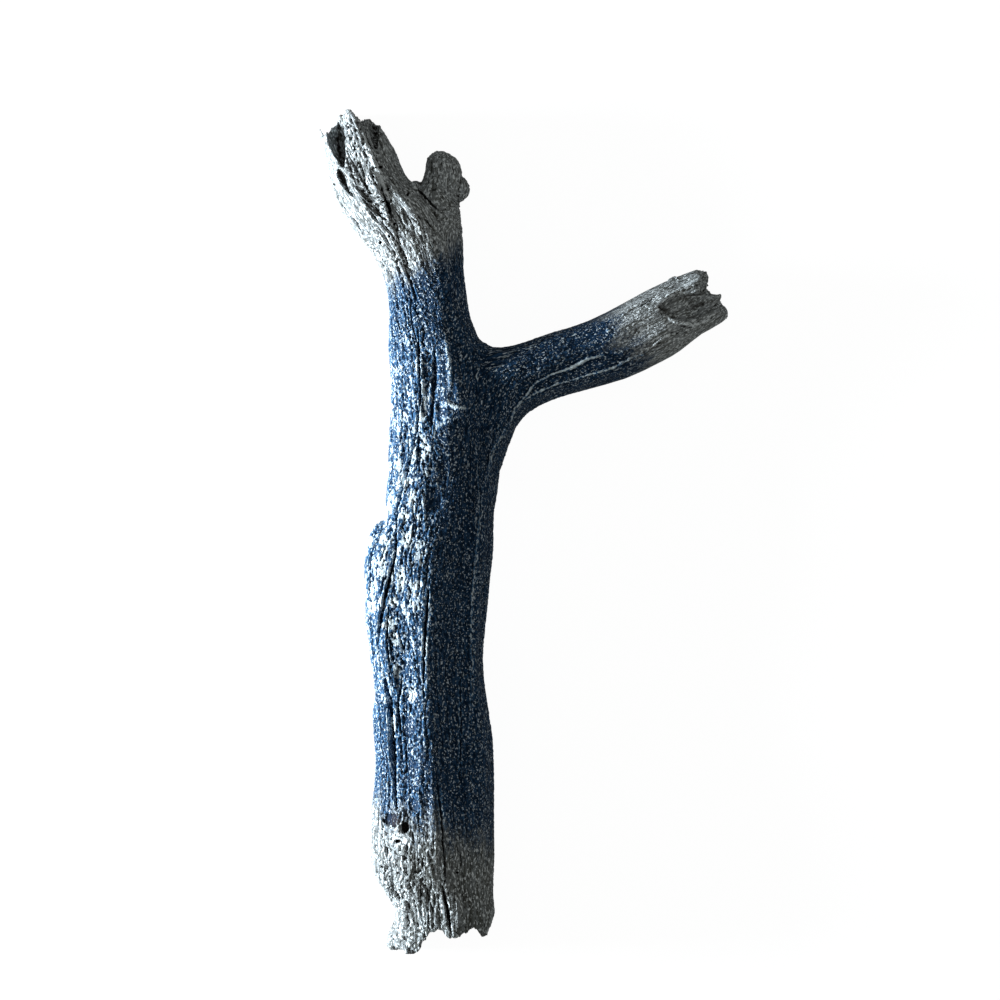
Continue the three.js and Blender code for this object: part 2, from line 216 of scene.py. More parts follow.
# %% The cores of the three limbs, in millimetres
STEM_CORE = [
    (-37, -196, 17), (-39, -160, 20), (-41, -124, 22), (-42, -81, 20), (-43.5, -38, 22),
    (-38, 5, 23), (-35, 41, 24), (-38, 79, 22), (-44, 107, 18), (-53, 134, 18),
    (-68, 155, 17.5), (-74.5, 171, 17), (-82, 196, 16),
]
SIDE_CORE = [
    (-38, 5, 23), (-32, 30, 24), (-20, 50, 23.5), (-3, 66.5, 23), (15, 75, 21.5),
    (42, 84.5, 19), (65, 96, 16.5), (84, 106, 14), (102, 113, 13.5),
]
STUB_CORE = [(-43, 105, 17), (-38.5, 125, 17), (-38.5, 145, 16.5), (-37.5, 160, 16), (-36, 178, 15)]
STEPS_PER_SPAN = 24
POINTS_AT_ONCE = 40000
FORK_LINE = {"at": (-13.5, 90), "to": (-4, 16), "blend": (-22, 12)}
STUB_LINE = {"at": (-49.5, 158.5), "to": (-27, 141.5), "blend": (-12, 8)}
FORK_MEET = (-9, 67, 40)
STUB_MEET = (-40, 148, 30)
STUB_LEFT_X = (-54, -48)
STUB_ROOT_Y = (120, 135)


def smooth_core(knots):
    """A Catmull-Rom curve through the knots: its points, its directions and its length so far."""
    ghosts = [2 * np.array(knots[0]) - knots[1], *knots, 2 * np.array(knots[-1]) - knots[-2]]
    knots = np.array(ghosts, float)
    spans = []
    for before, start, end, after in zip(knots, knots[1:], knots[2:], knots[3:]):
        t = np.linspace(0, 1, STEPS_PER_SPAN, endpoint=False)[:, None]
        cubic = 3 * start - before - 3 * end + after
        square = 2 * before - 5 * start + 4 * end - after
        spans.append(start + 0.5 * t * (end - before + t * (square + t * cubic)))
    line = np.concatenate([*spans, knots[-2:-1]])
    heading = np.gradient(line, axis=0)
    heading[:, 2] = 0
    heading /= np.linalg.norm(heading, axis=1)[:, None]
    along = np.concatenate([[0], np.cumsum(np.linalg.norm(np.diff(line, axis=0), axis=1))])
    return line, heading, along


def grain_along(points, core):
    """Right of, above and along one core, in millimetres."""
    line, heading, along = core
    nearest = np.empty(len(points), np.int64)
    for first in range(0, len(points), POINTS_AT_ONCE):
        some = points[first:first + POINTS_AT_ONCE, :2]
        distance = (line[:, :2] ** 2).sum(1) - 2 * some @ line[:, :2].T
        nearest[first:first + POINTS_AT_ONCE] = distance.argmin(1)
    offset = points - line[nearest]
    ahead = heading[nearest]
    right = offset[:, 0] * ahead[:, 1] - offset[:, 1] * ahead[:, 0]
    forward = offset[:, 0] * ahead[:, 0] + offset[:, 1] * ahead[:, 1]
    return np.stack([right, offset[:, 2], along[nearest] + forward], axis=1)


def side_of(points, line):
    """How far each point lies right of, or for the stub above, a line seen from above."""
    start = np.array(line["at"], float)
    run = np.array(line["to"], float) - start
    run /= np.linalg.norm(run)
    away = points[:, :2] - start
    return away[:, 1] * run[0] - away[:, 0] * run[1]


stem_core = smooth_core(STEM_CORE)
side_core = smooth_core(SIDE_CORE)
stub_core = smooth_core(STUB_CORE)


def limb_grain(points, core, meet):
    """The grain of a limb, counted so that it agrees with the stem's where the two meet."""
    meet = np.array([meet], float)
    return grain_along(points, core) + grain_along(meet, stem_core) - grain_along(meet, core)


def grain(points):
    """The place of each point in the grain of the whole branch, in millimetres."""
    found = grain_along(points, stem_core)
    in_side = ramp(*FORK_LINE["blend"], side_of(points, FORK_LINE))
    in_stub = ramp(*STUB_LINE["blend"], side_of(points, STUB_LINE))
    in_stub *= ramp(*STUB_LEFT_X, points[:, 0]) * ramp(*STUB_ROOT_Y, points[:, 1])
    found += in_side[:, None] * (limb_grain(points, side_core, FORK_MEET) - found)
    found += in_stub[:, None] * (limb_grain(points, stub_core, STUB_MEET) - found)
    return found


grain_of_skin = grain(points)
print("the longest run of grain is", round(grain_of_skin[:, 2].max()), "mm")

# %% [markdown]
# ## Noise that follows the grain
# Wood is irregular in a regular way: every ridge differs, but all are about as wide. Gradient noise
# has just this look. Blender's textures have it too, but they can't be sampled in grain places, so
# a small one is written here. Stretching its cells along the grain turns blobs into fibres.

# %% Gradient noise for many points at once
SEED = 20
rng = np.random.default_rng(SEED)
SHUFFLE = rng.permutation(256)
SLOPES = rng.normal(size=(256, 3))
SLOPES /= np.linalg.norm(SLOPES, axis=1)[:, None]
LAYER_STEP = 37
NOISE_GAIN = 1.7
OCTAVE_SCALE = 2.03
OCTAVE_SHIFT = 17.3
OCTAVE_FADE = 0.5
FRAY = (1, 1.9, 30)


def noise(cells, layer):
    """Gradient noise, about -1 to 1, for points in cells of size 1. Each layer differs."""
    low = np.floor(cells).astype(np.int64)
    part = cells - low
    fade = part**3 * (part * (part * 6 - 15) + 10)
    total = np.zeros(len(cells))
    for corner in itertools.product((0, 1), repeat=3):
        x, y, z = ((low + corner) & 255).T
        index = SHUFFLE[(SHUFFLE[(SHUFFLE[(x + LAYER_STEP * layer) & 255] + y) & 255] + z) & 255]
        rise = ((part - corner) * SLOPES[index]).sum(1)
        total += rise * np.where(corner, fade, 1 - fade).prod(1)
    return NOISE_GAIN * total


def fibres(grain_places, across, along, layer, octaves=1):
    """Noise whose cells are so wide across the grain and so long along it, in millimetres."""
    cells = grain_places / (across, across, along)
    total = np.zeros(len(cells))
    for octave in range(octaves):
        finer = cells * OCTAVE_SCALE**octave + OCTAVE_SHIFT * octave
        total += OCTAVE_FADE**octave * noise(finer, layer + octave)
    return total


def edge_noise(grain_places):
    """The noise that frays the edges of marks."""
    return fibres(grain_places, *FRAY)


print("noise at two points:", noise(np.array([[0.5, 0.2, 0.7], [3.1, 4.2, 9.3]]), 1).round(2))

# %% [markdown]
# ## Marks that are listed
# Some marks make this branch the one in the picture: the long drying cracks, the smooth dark hollows
# beside them, thin raised ridges, and the seam round the stub. They could be cut with Booleans, but
# a crack then has straight, clean walls. Each is a line or an oval seen from above here, and the skin
# sinks or rises there with a frayed edge.

# %% Cracks, ridges and smooth hollows, in millimetres
CRACKS = [
    {"line": [(-47.5, 92), (-47, 75), (-46.4, 62), (-47, 51)], "width": 1.4, "depth": 2},
    {"line": [(-46.6, 56), (-49.3, 38), (-53.6, 24), (-56.7, 10), (-57.3, 0)], "width": 1.6, "depth": 3},
    {"line": [(-57, 2), (-57.5, -10), (-62, -28), (-66, -49), (-64.5, -62)], "width": 1.7, "depth": 3},
    {"line": [(-64.5, -58), (-60.5, -76), (-59, -98), (-57.2, -118), (-56, -127)], "width": 3, "depth": 4.5},
    {"line": [(-42, -20), (-43.8, -38), (-44.8, -56), (-45, -74)], "width": 1.4, "depth": 2.2},
    {"line": [(-40, 84), (-40, 70), (-41, 55), (-41.5, 44)], "width": 2.4, "depth": 1.2},
    {"line": [(-54, 60), (-55, 44), (-59, 20), (-60, 10)], "width": 1, "depth": 1.2},
    {"line": [(-57, 86), (-56.5, 66), (-57.5, 50)], "width": 0.9, "depth": 1},
    {"line": [(-60.5, -30), (-61.5, -50), (-59, -66)], "width": 1, "depth": 1.2},
    {"line": [(-54, -60), (-56.5, -78), (-55, -92)], "width": 1.1, "depth": 1.2},
    {"line": [(-38, -112), (-37, -128), (-35.5, -150), (-35.5, -159)], "width": 1.1, "depth": 2.5},
    {"line": [(-36.5, -158), (-34.5, -168), (-32.5, -180)], "width": 1.8, "depth": 4},
    {"line": [(-59.5, -143), (-58.5, -152), (-58, -165)], "width": 1.4, "depth": 2.5},
    {"line": [(-46.5, -158), (-46, -170), (-44.5, -181)], "width": 1.3, "depth": 3},
    {"line": [(-49.5, 157.5), (-46, 152), (-41.5, 147), (-37, 143)], "width": 1.2, "depth": 1.5},
    {"line": [(-85.9, 155.5), (-83.5, 150.5), (-80, 143.8)], "width": 0.9, "depth": 1.1},
    {"line": [(-80.5, 145), (-74.7, 138), (-71.1, 129.8)], "width": 1.1, "depth": 1.4},
    {"line": [(-73, 149.5), (-68, 144), (-63, 140)], "width": 1.7, "depth": 1.6},
    {"line": [(-70, 144.5), (-66.5, 140), (-64.5, 137.5)], "width": 1.3, "depth": 1.4},
    {"line": [(-78.5, 153), (-76.5, 149.5)], "width": 1.2, "depth": 1.5},
    {"line": [(52.2, 101), (57.6, 104.2)], "width": 1, "depth": 1.2},
    {"line": [(-28, -60), (-27, -90), (-29, -120)], "width": 0.8, "depth": 0.8},
]
RIDGES = [
    {"line": [(-17.6, 24), (-20.5, -4), (-23, -31), (-23, -76), (-25, -103)], "width": 1.3, "height": 0.6},
    {"line": [(-17.6, 19), (-13.5, 37), (-7, 48)], "width": 1.2, "height": 0.6},
    {"line": [(-6.3, 47.5), (-4, 55), (5.4, 66.8), (14, 71)], "width": 1.3, "height": 0.8},
    {"line": [(10, 69.5), (22, 73.6), (28, 77.2), (35.5, 79)], "width": 2.2, "height": 1.1},
    {"line": [(-2.7, 57.4), (5, 61.9), (14, 65.9), (24.8, 68.6)], "width": 1.2, "height": 0.7},
    {"line": [(22, 68), (32.4, 71.3), (39, 73.1), (47.3, 77.4), (55, 80.3)], "width": 1.5, "height": 0.8},
    {"line": [(53, 79), (62, 87.1), (69.8, 89.3), (79.2, 92.5)], "width": 1.5, "height": 0.8},
    {"line": [(42, 94.5), (47.3, 99.8), (55, 103.5), (68, 111)], "width": 1.2, "height": 0.7},
    {"line": [(-72.3, 178), (-67.2, 165), (-62.9, 154.6), (-59.4, 146.5)], "width": 3.4, "height": 1.9},
    {"line": [(-44, 168.5), (-41, 167), (-39.7, 158)], "width": 1, "height": 0.5},
    {"line": [(-35.5, 88), (-33.5, 76), (-33, 62)], "width": 3, "height": 0.6},
    {"line": [(-35, 57.5), (-30, 55.3), (-24.5, 55)], "width": 2.6, "height": 0.9},
    {"line": [(36.5, 92), (37.5, 89.5), (40, 91.5)], "width": 1.2, "height": 0.7},
    {"line": [(64, 111.5), (68, 114.5), (70, 112.5)], "width": 1.2, "height": 0.7},
    {"line": [(60, 104), (70, 108.5), (78, 110.5)], "width": 1.4, "height": 0.6},
    {"line": [(60, 100), (66, 94.5), (76, 92.5), (86, 96.5)], "width": 2.2, "height": 0.9},
]
HOLLOWS = [
    {"at": (-41, 14), "size": (3.5, 5.5), "depth": 0.9},
    {"at": (-55.8, -65.5), "size": (2, 6), "depth": 0.9},
    {"at": (-52, -87), "size": (3, 5), "depth": 0.9},
    {"at": (-50, -106), "size": (2.6, 4), "depth": 0.9},
    {"at": (-44, 58), "size": (2, 7), "depth": 0.9},
    {"at": (-25, -60), "size": (3, 4), "depth": 0.6},
    {"at": (-59, -128.6), "size": (4.4, 3.4), "depth": 1.5},
    {"at": (-56, -138), "size": (1.6, 0.9), "depth": 1.8},
    {"at": (-53, -131.6), "size": (2, 2.6), "depth": 1.6},
    {"at": (-49, -121.7), "size": (1.8, 3.4), "depth": 0.7},
]
KNOT_RINGS = [{"at": (-52.7, -131.6), "size": (3.6, 3.6)}, {"at": (-49, -121.7), "size": (2.9, 4.8)}]
print(len(CRACKS), "cracks,", len(RIDGES), "ridges and", len(HOLLOWS), "hollows")

# %% [markdown]
# ## From a mark to a depth
# A crack is deepest in its middle and thins out at both ends, a ridge stands up in the same way, and
# a hollow is a bowl. A brush would give each one a soft round edge. Here the distance from the mark
# is frayed by noise first, so that fibres seem to run across its edge.

# %% How far the marks lower or raise the skin
EDGE_FRAY = 0.5
REACH = 3
LOWEST_UP = -0.2
END_SHARES = (0.03, 0.97)
CRACK_WALL = (1.25, 0.25)
CRACK_BREAKS = 0.6
CRACK_LIP = (2.6, 1.5)
LIP_HEIGHT = 0.25
RIDGE_SIDE = (1.2, 0.1)
OVAL_EDGE = (1.15, 0.8)
OVAL_FRAY = 0.12
DEEP_FRAY = 1.6
RING_EDGE = (0.28, 0.05)
RING_FRAY = 0.25
RING_OPEN_LEFT = (-1.3, 0.2)
RING_HEIGHT = 0.5


def beside(points, line):
    """The distance from a line seen from above, and the share of its length there."""
    corners = np.array(line, float)
    lengths = np.linalg.norm(np.diff(corners, axis=0), axis=1)
    so_far = np.concatenate([[0], np.cumsum(lengths)])
    best = np.full(len(points), np.inf)
    share = np.zeros(len(points))
    for start, end, length, before in zip(corners, corners[1:], lengths, so_far):
        run = (end - start) / length
        offset = points[:, :2] - start
        t = np.clip(offset @ run, 0, length)
        distance = np.linalg.norm(offset - t[:, None] * run, axis=1)
        nearer = distance < best
        best[nearer] = distance[nearer]
        share[nearer] = ((before + t) / so_far[-1])[nearer]
    return best, share


def line_marks(points, normals, fray, marks):
    """How far cracks or ridges lower or raise the skin, in millimetres."""
    height = np.zeros(len(points))
    facing_up = normals[:, 2] > LOWEST_UP
    for mark in marks:
        reach = REACH * mark["width"]
        low = np.min(mark["line"], axis=0) - reach
        high = np.max(mark["line"], axis=0) + reach
        flat = points[:, :2]
        near = np.flatnonzero(facing_up & (flat > low).all(1) & (flat < high).all(1))
        distance, share = beside(points[near], mark["line"])
        taper = np.sin(np.pi * np.clip(share, *END_SHARES)) ** 0.5
        half = 0.5 * mark["width"] * taper
        distance = distance + EDGE_FRAY * fray[near]
        if "depth" in mark:
            broken = 1 + CRACK_BREAKS * fray[near]
            height[near] -= mark["depth"] * taper * broken * ramp(*CRACK_WALL, distance / half)
            height[near] += LIP_HEIGHT * taper * ramp(*CRACK_LIP, distance / half) * (distance > half)
        else:
            height[near] += mark["height"] * taper * ramp(*RIDGE_SIDE, distance / half)
    return height


def in_oval(points, oval, fray):
    """1 inside an oval seen from above and 0 outside it, with a frayed edge."""
    offset = (points[:, :2] - oval["at"]) / oval["size"]
    return ramp(*OVAL_EDGE, np.linalg.norm(offset, axis=1) + OVAL_FRAY * fray)


def in_hollows(points, normals, fray):
    """How deep each point lies in the smooth dark hollows, in millimetres."""
    depths = []
    for hollow in HOLLOWS:
        depth = hollow["depth"]
        depths.append(depth * in_oval(points, hollow, DEEP_FRAY * depth * fray))
    return np.max(depths, axis=0) * (normals[:, 2] > 0)


def on_rings(points, normals, fray):
    """1 on the raised lips round the knot at the foot and 0 elsewhere."""
    share = np.zeros(len(points))
    for ring in KNOT_RINGS:
        offset = (points[:, :2] - ring["at"]) / ring["size"]
        away = np.abs(np.linalg.norm(offset, axis=1) - 1 + RING_FRAY * fray)
        share = np.maximum(share, ramp(*RING_EDGE, away) * ramp(*RING_OPEN_LEFT, offset[:, 0]))
    return share * (normals[:, 2] > 0)


print("the deepest crack is", max(crack["depth"] for crack in CRACKS), "mm deep")

# %% [markdown]
# ## Where the paint is
# The blue was sprayed on, so it fades out over a centimetre or two instead of ending in a line. The
# real fade is a cloud of droplets. It could be masked with a gradient texture, but the three fades
# lie at different angles, so each is a slanted line with a soft width. The mask is kept on the skin
# because paint changes the relief as well: it fills the finest grain.

# %% The three fades of the paint, in millimetres
FOOT_FADE = (-154, -110)
FOOT_FADE_SLANT = 0.3
FOOT_FADE_X = -45
TOP_FADE = (136, 102)
TOP_FADE_SLANT = 0.55
TOP_FADE_X = -47
SIDE_FADE = (66, 24)
SIDE_FADE_SLANT = 0.8
SIDE_FADE_Y = 90
WANDER_CELLS = (9, 22, 40, 2)
FADE_WANDER = 5


def paint_share(points, grain_places):
    """1 where the wood is painted and 0 where it is bare."""
    wander = FADE_WANDER * fibres(grain_places, *WANDER_CELLS)
    x, y = points[:, 0] + wander, points[:, 1] + wander
    foot = ramp(*FOOT_FADE, y + FOOT_FADE_SLANT * (x - FOOT_FADE_X))
    top = ramp(*TOP_FADE, y - TOP_FADE_SLANT * (x - TOP_FADE_X))
    side = ramp(*SIDE_FADE, x + SIDE_FADE_SLANT * (y - SIDE_FADE_Y))
    return foot * top * side


paint = paint_share(points, grain_of_skin)
print("painted share of the skin:", round(paint.mean(), 2))

# %% [markdown]
# ## Where the paint is worn off, and its painted highlights
# The trunk has a crest, and left of it, on the lit side, the paint is paler in clumps and streaks that
# follow the grain: partly rubbed through and partly a painted highlight. Right of the crest, in the
# shade, it is whole. The raised ridges are made paler too, a painted highlight. The wear could be
# painted by hand. Here a line for the crest, noise for the clumps and a few ovals for the largest bare
# spots give the same picture.

# %% The crest, the wear and painted highlight beside it and the largest bare spots, in millimetres
CREST_Y = (-121, -103, -85, -67, -31, 1, 14, 32, 46, 52, 59, 73, 91, 104)
CREST_X = (-49, -46.8, -44.5, -42.3, -42.3, -43, -44.5, -41.4, -37.8, -31, -31, -33.3, -37.8, -41.4)
# How pale the clumps are along the crest: partly wear, partly a painted highlight.
WEAR_AND_HIGHLIGHT = (0.2, 0.3, 0.45, 0.75, 0.9, 1, 1, 0.95, 0.9, 0.9, 0.85, 0.75, 0.5, 0.25)
LEFT_OF_CREST = (1.5, -3)
CLUMP_STREAKS = (1.8, 11, 60, 2)
CLUMP_BLOBS = (3, 6, 64, 2)
STREAK_SHARE = 0.6
BLOB_SHARE = 0.7
CLUMP_EDGE = (-0.2, 0.45)
CLUMP_TRIM = 0.6
SPOT_WEAR = 1.35
# How much paler the raised ridges are made: a painted highlight.
SPOT_FRAY = 2
RIDGE_HIGHLIGHT = 1.1
BARE_SPOTS = [
    {"at": (-52.2, 22.7), "size": (2.4, 1.3)}, {"at": (-53.1, 7.2), "size": (2, 1.5)},
    {"at": (-45.5, 50.6), "size": (1.4, 1.3)}, {"at": (-43.2, 36.7), "size": (1.5, 2.6)},
    {"at": (-52.2, -3.8), "size": (2.2, 3.4)}, {"at": (-63.5, -3.4), "size": (1.8, 2)},
    {"at": (-54.9, -20.9), "size": (2, 5.4)}, {"at": (-58.5, -31.3), "size": (2.5, 2.2)},
    {"at": (-59.9, -41.2), "size": (2.6, 2.8)}, {"at": (-63.5, -17.8), "size": (1.8, 2.8)},
    {"at": (-68, -34), "size": (1.8, 2.2)}, {"at": (-57.6, -47.9), "size": (1.4, 3.4)},
    {"at": (-57.2, -62.3), "size": (1.2, 3.4)}, {"at": (-50, -73.1), "size": (2, 3.4)},
    {"at": (-48.2, -23.6), "size": (2.7, 1.5)}, {"at": (-58.5, -86.2), "size": (0.9, 5)},
    {"at": (-55.5, -136.8), "size": (4.2, 2.6)},
]


def past_crest(points):
    """How far right of the trunk's crest each point lies, in millimetres."""
    return points[:, 0] - np.interp(points[:, 1], CREST_Y, CREST_X)


def wear_and_highlight_share(points, normals, grain_places):
    """0 where the paint is whole, to 1 and more where it is rubbed off or given a painted highlight."""
    left = ramp(*LEFT_OF_CREST, past_crest(points))
    streaks, blobs = fibres(grain_places, *CLUMP_STREAKS), fibres(grain_places, *CLUMP_BLOBS)
    clumps = ramp(*CLUMP_EDGE, STREAK_SHARE * streaks + BLOB_SHARE * blobs)
    # Pale clumps left of the crest, on the lit side: partly worn paint, partly a painted highlight.
    worn = np.interp(points[:, 1], CREST_Y, WEAR_AND_HIGHLIGHT) * clumps
    share = np.maximum(left * (worn - CLUMP_TRIM * (1 - worn)), 0)
    fray = edge_noise(grain_places)
    for spot in BARE_SPOTS:
        share = np.maximum(share, SPOT_WEAR * in_oval(points, spot, SPOT_FRAY * fray))
    # The raised ridges are made paler here: a painted highlight.
    return share + RIDGE_HIGHLIGHT * line_marks(points, normals, fray, RIDGES)


print("the largest bare spots:", len(BARE_SPOTS))

# %% [markdown]
# ## The trough, the crest and the broken faces
# Three places have a form of their own. The rotten tip is a trough with a tilted floor, the trunk
# falls off more steeply right of its crest, and the broken faces end in splinters. The frame's solids
# show the first two plainly. They could be cut sharper there with more faces. Here small lifts and
# drops sharpen them, which keep the outline seen from above, and the splinters follow the grain.

# %% The forms of the tip, the crest, the foot and the breaks, in millimetres
TROUGH_Y = (140, 158, 184)
TROUGH_X = (-61.5, -71.8, -80.5)
TROUGH_HALF_WIDTH = (2, 7.5, 7)
TROUGH_EDGE = (1.1, 0.85)
TROUGH_START_Y = (136, 142)
TROUGH_FLOOR_Z = (26, 29)
TROUGH_FACING = (0.2, 0.5)
CREST_DROP = (2.4, 3.2, 3.2, 2.6, 2.4, 3, 4.2, 4.6, 4, 2, 0.8, 0, 0, 0)
CREST_FALL = (-3, 13)
CREST_FALL_END = (33, 16)
CREST_FOOT_Y = (-128, -110)
SHOULDER_RISE = 1.7
SHOULDER_LEFT_X = (-66, -57)
SHOULDER_RIGHT_X = (-43, -54)
SHOULDER_Y = (-100, -126)
SPLINTERS = (1.7, 60, 50, 2)
SPLINTER_LENGTH = 1.1
LOOK_AHEAD = 0.5
ACROSS_THE_GRAIN = (0.25, 0.45)
STUB_SMOOTHED = 0.9
SIDE_BREAK_X = (50, 60)
SIDE_BREAK_SHARE = 0.9


def in_trough(points, normals):
    """How far each point is in the rotten trough of the tip, and how far across it, -1 to 1."""
    middle = np.interp(points[:, 1], TROUGH_Y, TROUGH_X)
    across = (points[:, 0] - middle) / np.interp(points[:, 1], TROUGH_Y, TROUGH_HALF_WIDTH)
    inside = ramp(*TROUGH_EDGE, np.abs(across)) * ramp(*TROUGH_START_Y, points[:, 1])
    inside *= ramp(*TROUGH_FLOOR_Z, points[:, 2]) * ramp(*TROUGH_FACING, normals[:, 2])
    return inside, np.clip(across, -1, 1)


def crest_and_shoulder(points):
    """Steepens the right of the trunk's crest and lifts the left of its foot."""
    past = past_crest(points)
    drop = np.interp(points[:, 1], CREST_Y, CREST_DROP) * ramp(*CREST_FALL, past)
    drop *= ramp(*CREST_FALL_END, past)
    drop *= ramp(*CREST_FOOT_Y, points[:, 1])
    shoulder = ramp(*SHOULDER_LEFT_X, points[:, 0]) * ramp(*SHOULDER_RIGHT_X, points[:, 0])
    shoulder *= ramp(*SHOULDER_Y, points[:, 1])
    return SHOULDER_RISE * shoulder - drop


def splinters(points, normals, grain_places, ends):
    """How far the fibres stick out of the broken faces, which lie across the grain."""
    height = np.zeros(len(points))
    near = np.flatnonzero(ends > 0)
    x, y = points[near, 0], points[near, 1]
    ahead = grain(points[near] + LOOK_AHEAD * normals[near])[:, 2] - grain_places[near, 2]
    across = ramp(*ACROSS_THE_GRAIN, np.abs(ahead))
    broken_face = across * ends[near]
    broken_face *= 1 - STUB_SMOOTHED * ramp(*STUB_LEFT_X, x) * (y > 0)
    broken_face += SIDE_BREAK_SHARE * ramp(*SIDE_BREAK_X, x) * (across - broken_face)
    height[near] = SPLINTER_LENGTH * broken_face * fibres(grain_places[near], *SPLINTERS)
    return height


print("the crest falls off by up to", max(CREST_DROP), "mm more than in the solid")

# %% [markdown]
# ## Pressing the grain into the skin
# Weathered wood has marks of every size at once: long swells, ridges between fibre bundles, fine
# cracks, pits and grit. Bump maps would show them only as shading, and the outline would stay
# smooth. Here the sum of all layers moves each vertex along its rounded normal, so the marks are
# real shape down to about half a millimetre, and only the finest grit is left to the material.

# %% Furrows, splits and pits: cells across and along the grain, a number, and octaves
FURROWS = (3, 19, 18)
FURROW_WALL = (0.22, 0.02)
FURROW_PATCHES = (6, 15, 22)
FURROW_PATCH_EDGE = (-0.5, 0.3)
FURROW_DEPTH = 0.75
SPLITS = (5.2, 60, 8)
SPLIT_WALL = (0.14, 0.02)
SPLIT_PATCHES = (14, 30, 10)
SPLIT_PATCH_EDGE = (-0.1, 0.5)
SPLIT_DEPTH = 0.45
BARE_SPLIT_DEPTH = 0.55
SPLITS_FADE_X = (5, -15)
PITS = (1.35, 2, 12, 3)
PIT_ROWS = (2.1, 28, 16)
PIT_ROW_SHARE = 0.4
PIT_WALL = (0, 0.5)
PIT_DEPTH = 0.2
LIT_PIT_DEPTH = 0.42
TROUGH_PIT_DEPTH = 0.5


def furrows(grain_places, rough_side):
    """How deep the thin furrows between fibre bundles are."""
    lines = ramp(*FURROW_WALL, np.abs(fibres(grain_places, *FURROWS)))
    lines *= ramp(*FURROW_PATCH_EDGE, fibres(grain_places, *FURROW_PATCHES))
    return FURROW_DEPTH * rough_side * lines


def splits(points, grain_places, bare):
    """How deep the long splits are. They fade out towards the right."""
    lines = ramp(*SPLIT_WALL, np.abs(fibres(grain_places, *SPLITS)))
    depth = (SPLIT_DEPTH + BARE_SPLIT_DEPTH * bare) * lines
    depth *= ramp(*SPLIT_PATCH_EDGE, fibres(grain_places, *SPLIT_PATCHES))
    return depth * ramp(*SPLITS_FADE_X, points[:, 0])


def pits(grain_places, lit_side, trough):
    """How deep the small pits are."""
    pit_noise = fibres(grain_places, *PITS) + PIT_ROW_SHARE * fibres(grain_places, *PIT_ROWS)
    deepest = PIT_DEPTH + LIT_PIT_DEPTH * lit_side + TROUGH_PIT_DEPTH * trough
    return ramp(*PIT_WALL, pit_noise) * deepest


print("the deepest furrows are", FURROW_DEPTH, "mm deep")

# %% [markdown]
# ## Rough and smooth wood
# Not all of the wood is equally rough. The lit side has the deepest furrows, and the rotten trough
# has the deepest pits. The dark hollows are nearly smooth, and so are two places that the weather has
# worn flat: the left face of the tip and the lower flank of the side branch. One height for every
# layer would be simpler, but then no place would stand out. So the fine layers fade out on the smooth
# places, the others are added up everywhere, and the listed marks come last.

# %% Add up the layers of relief, in millimetres
SWELLS = (11, 90, 1)
SWELL_HEIGHT = 0.2
BUNDLES = (3.1, 46, 3, 2)
BUNDLE_HEIGHT = 0.26
ROUGH_BUNDLE_HEIGHT = 0.22
FINE_FIBRES = (1.3, 17, 6)
FIBRE_HEIGHT = 0.05
BARE_FIBRE_HEIGHT = 0.22
GRIT = (0.95, 1.1, 15)
GRIT_HEIGHT = 0.2
LIT_SIDE = (2, -9)
ROUGH_BARE_SIDE = (18, 4)
LEFT_FACE_Y = (118, 136)
LEFT_FACE_SIDE = (-3, -9)
LEFT_FACE_POLISH = 0.8
UNDER_BRANCH_SIDE = (6.5, 9.5)
UNDER_BRANCH_X = (12, 34)
SMOOTHED = 0.9
ENDS_LOWERED = 0.2
TROUGH_TILT = 1.7
TROUGH_RISE = 1.7
TROUGH_BULGE = (1, 0.3)
SWELLINGS = [
    {"line": [(-60, 152.5), (-52, 143), (-44, 127), (-38.5, 110), (-37, 96)], "width": 15, "height": 1.9},
    {"line": [(-36, -112), (-35, -135), (-33, -160), (-31, -180)], "width": 14, "height": 1.2},
]


def polish(points, grain_places):
    """How smooth the weather has made the tip's left face and the side branch's lower flank."""
    from_core = grain_places[:, 0]
    left_face = ramp(*LEFT_FACE_Y, points[:, 1]) * ramp(*LEFT_FACE_SIDE, from_core)
    under_branch = ramp(*UNDER_BRANCH_SIDE, from_core) * ramp(*UNDER_BRANCH_X, points[:, 0])
    return np.maximum(LEFT_FACE_POLISH * left_face, under_branch)


def relief(points, normals, grain_places, paint):
    """How far the grain and the marks raise the skin, in millimetres."""
    bare = 1 - paint
    ends = end_share(points)
    fray = edge_noise(grain_places)
    hollows = in_hollows(points, normals, fray)
    trough, across = in_trough(points, normals)
    smooth = np.maximum(np.minimum(hollows, 1), polish(points, grain_places))
    lit_side = ramp(*LIT_SIDE, grain_places[:, 0])
    rough_side = np.maximum(lit_side, bare * ramp(*ROUGH_BARE_SIDE, grain_places[:, 0]))
    height = SWELL_HEIGHT * fibres(grain_places, *SWELLS)
    height += (BUNDLE_HEIGHT + ROUGH_BUNDLE_HEIGHT * rough_side) * fibres(grain_places, *BUNDLES)
    fine = (FIBRE_HEIGHT + BARE_FIBRE_HEIGHT * bare) * fibres(grain_places, *FINE_FIBRES)
    fine -= furrows(grain_places, rough_side)
    fine -= splits(points, grain_places, bare)
    fine -= pits(grain_places, lit_side, trough)
    fine += GRIT_HEIGHT * fibres(grain_places, *GRIT)
    height += fine * (1 - SMOOTHED * smooth)
    height += trough * (TROUGH_TILT * across + TROUGH_RISE * ramp(*TROUGH_BULGE, np.abs(across)))
    height += RING_HEIGHT * on_rings(points, normals, fray) - hollows
    height *= 1 - ENDS_LOWERED * ends
    height += crest_and_shoulder(points) + splinters(points, normals, grain_places, ends)
    return height + line_marks(points, normals, fray, CRACKS + RIDGES + SWELLINGS)


print("the low swellings rise by up to", max(mark["height"] for mark in SWELLINGS), "mm")

# %% Move the skin along its rounded normals
NORMAL_ROUNDING = 2

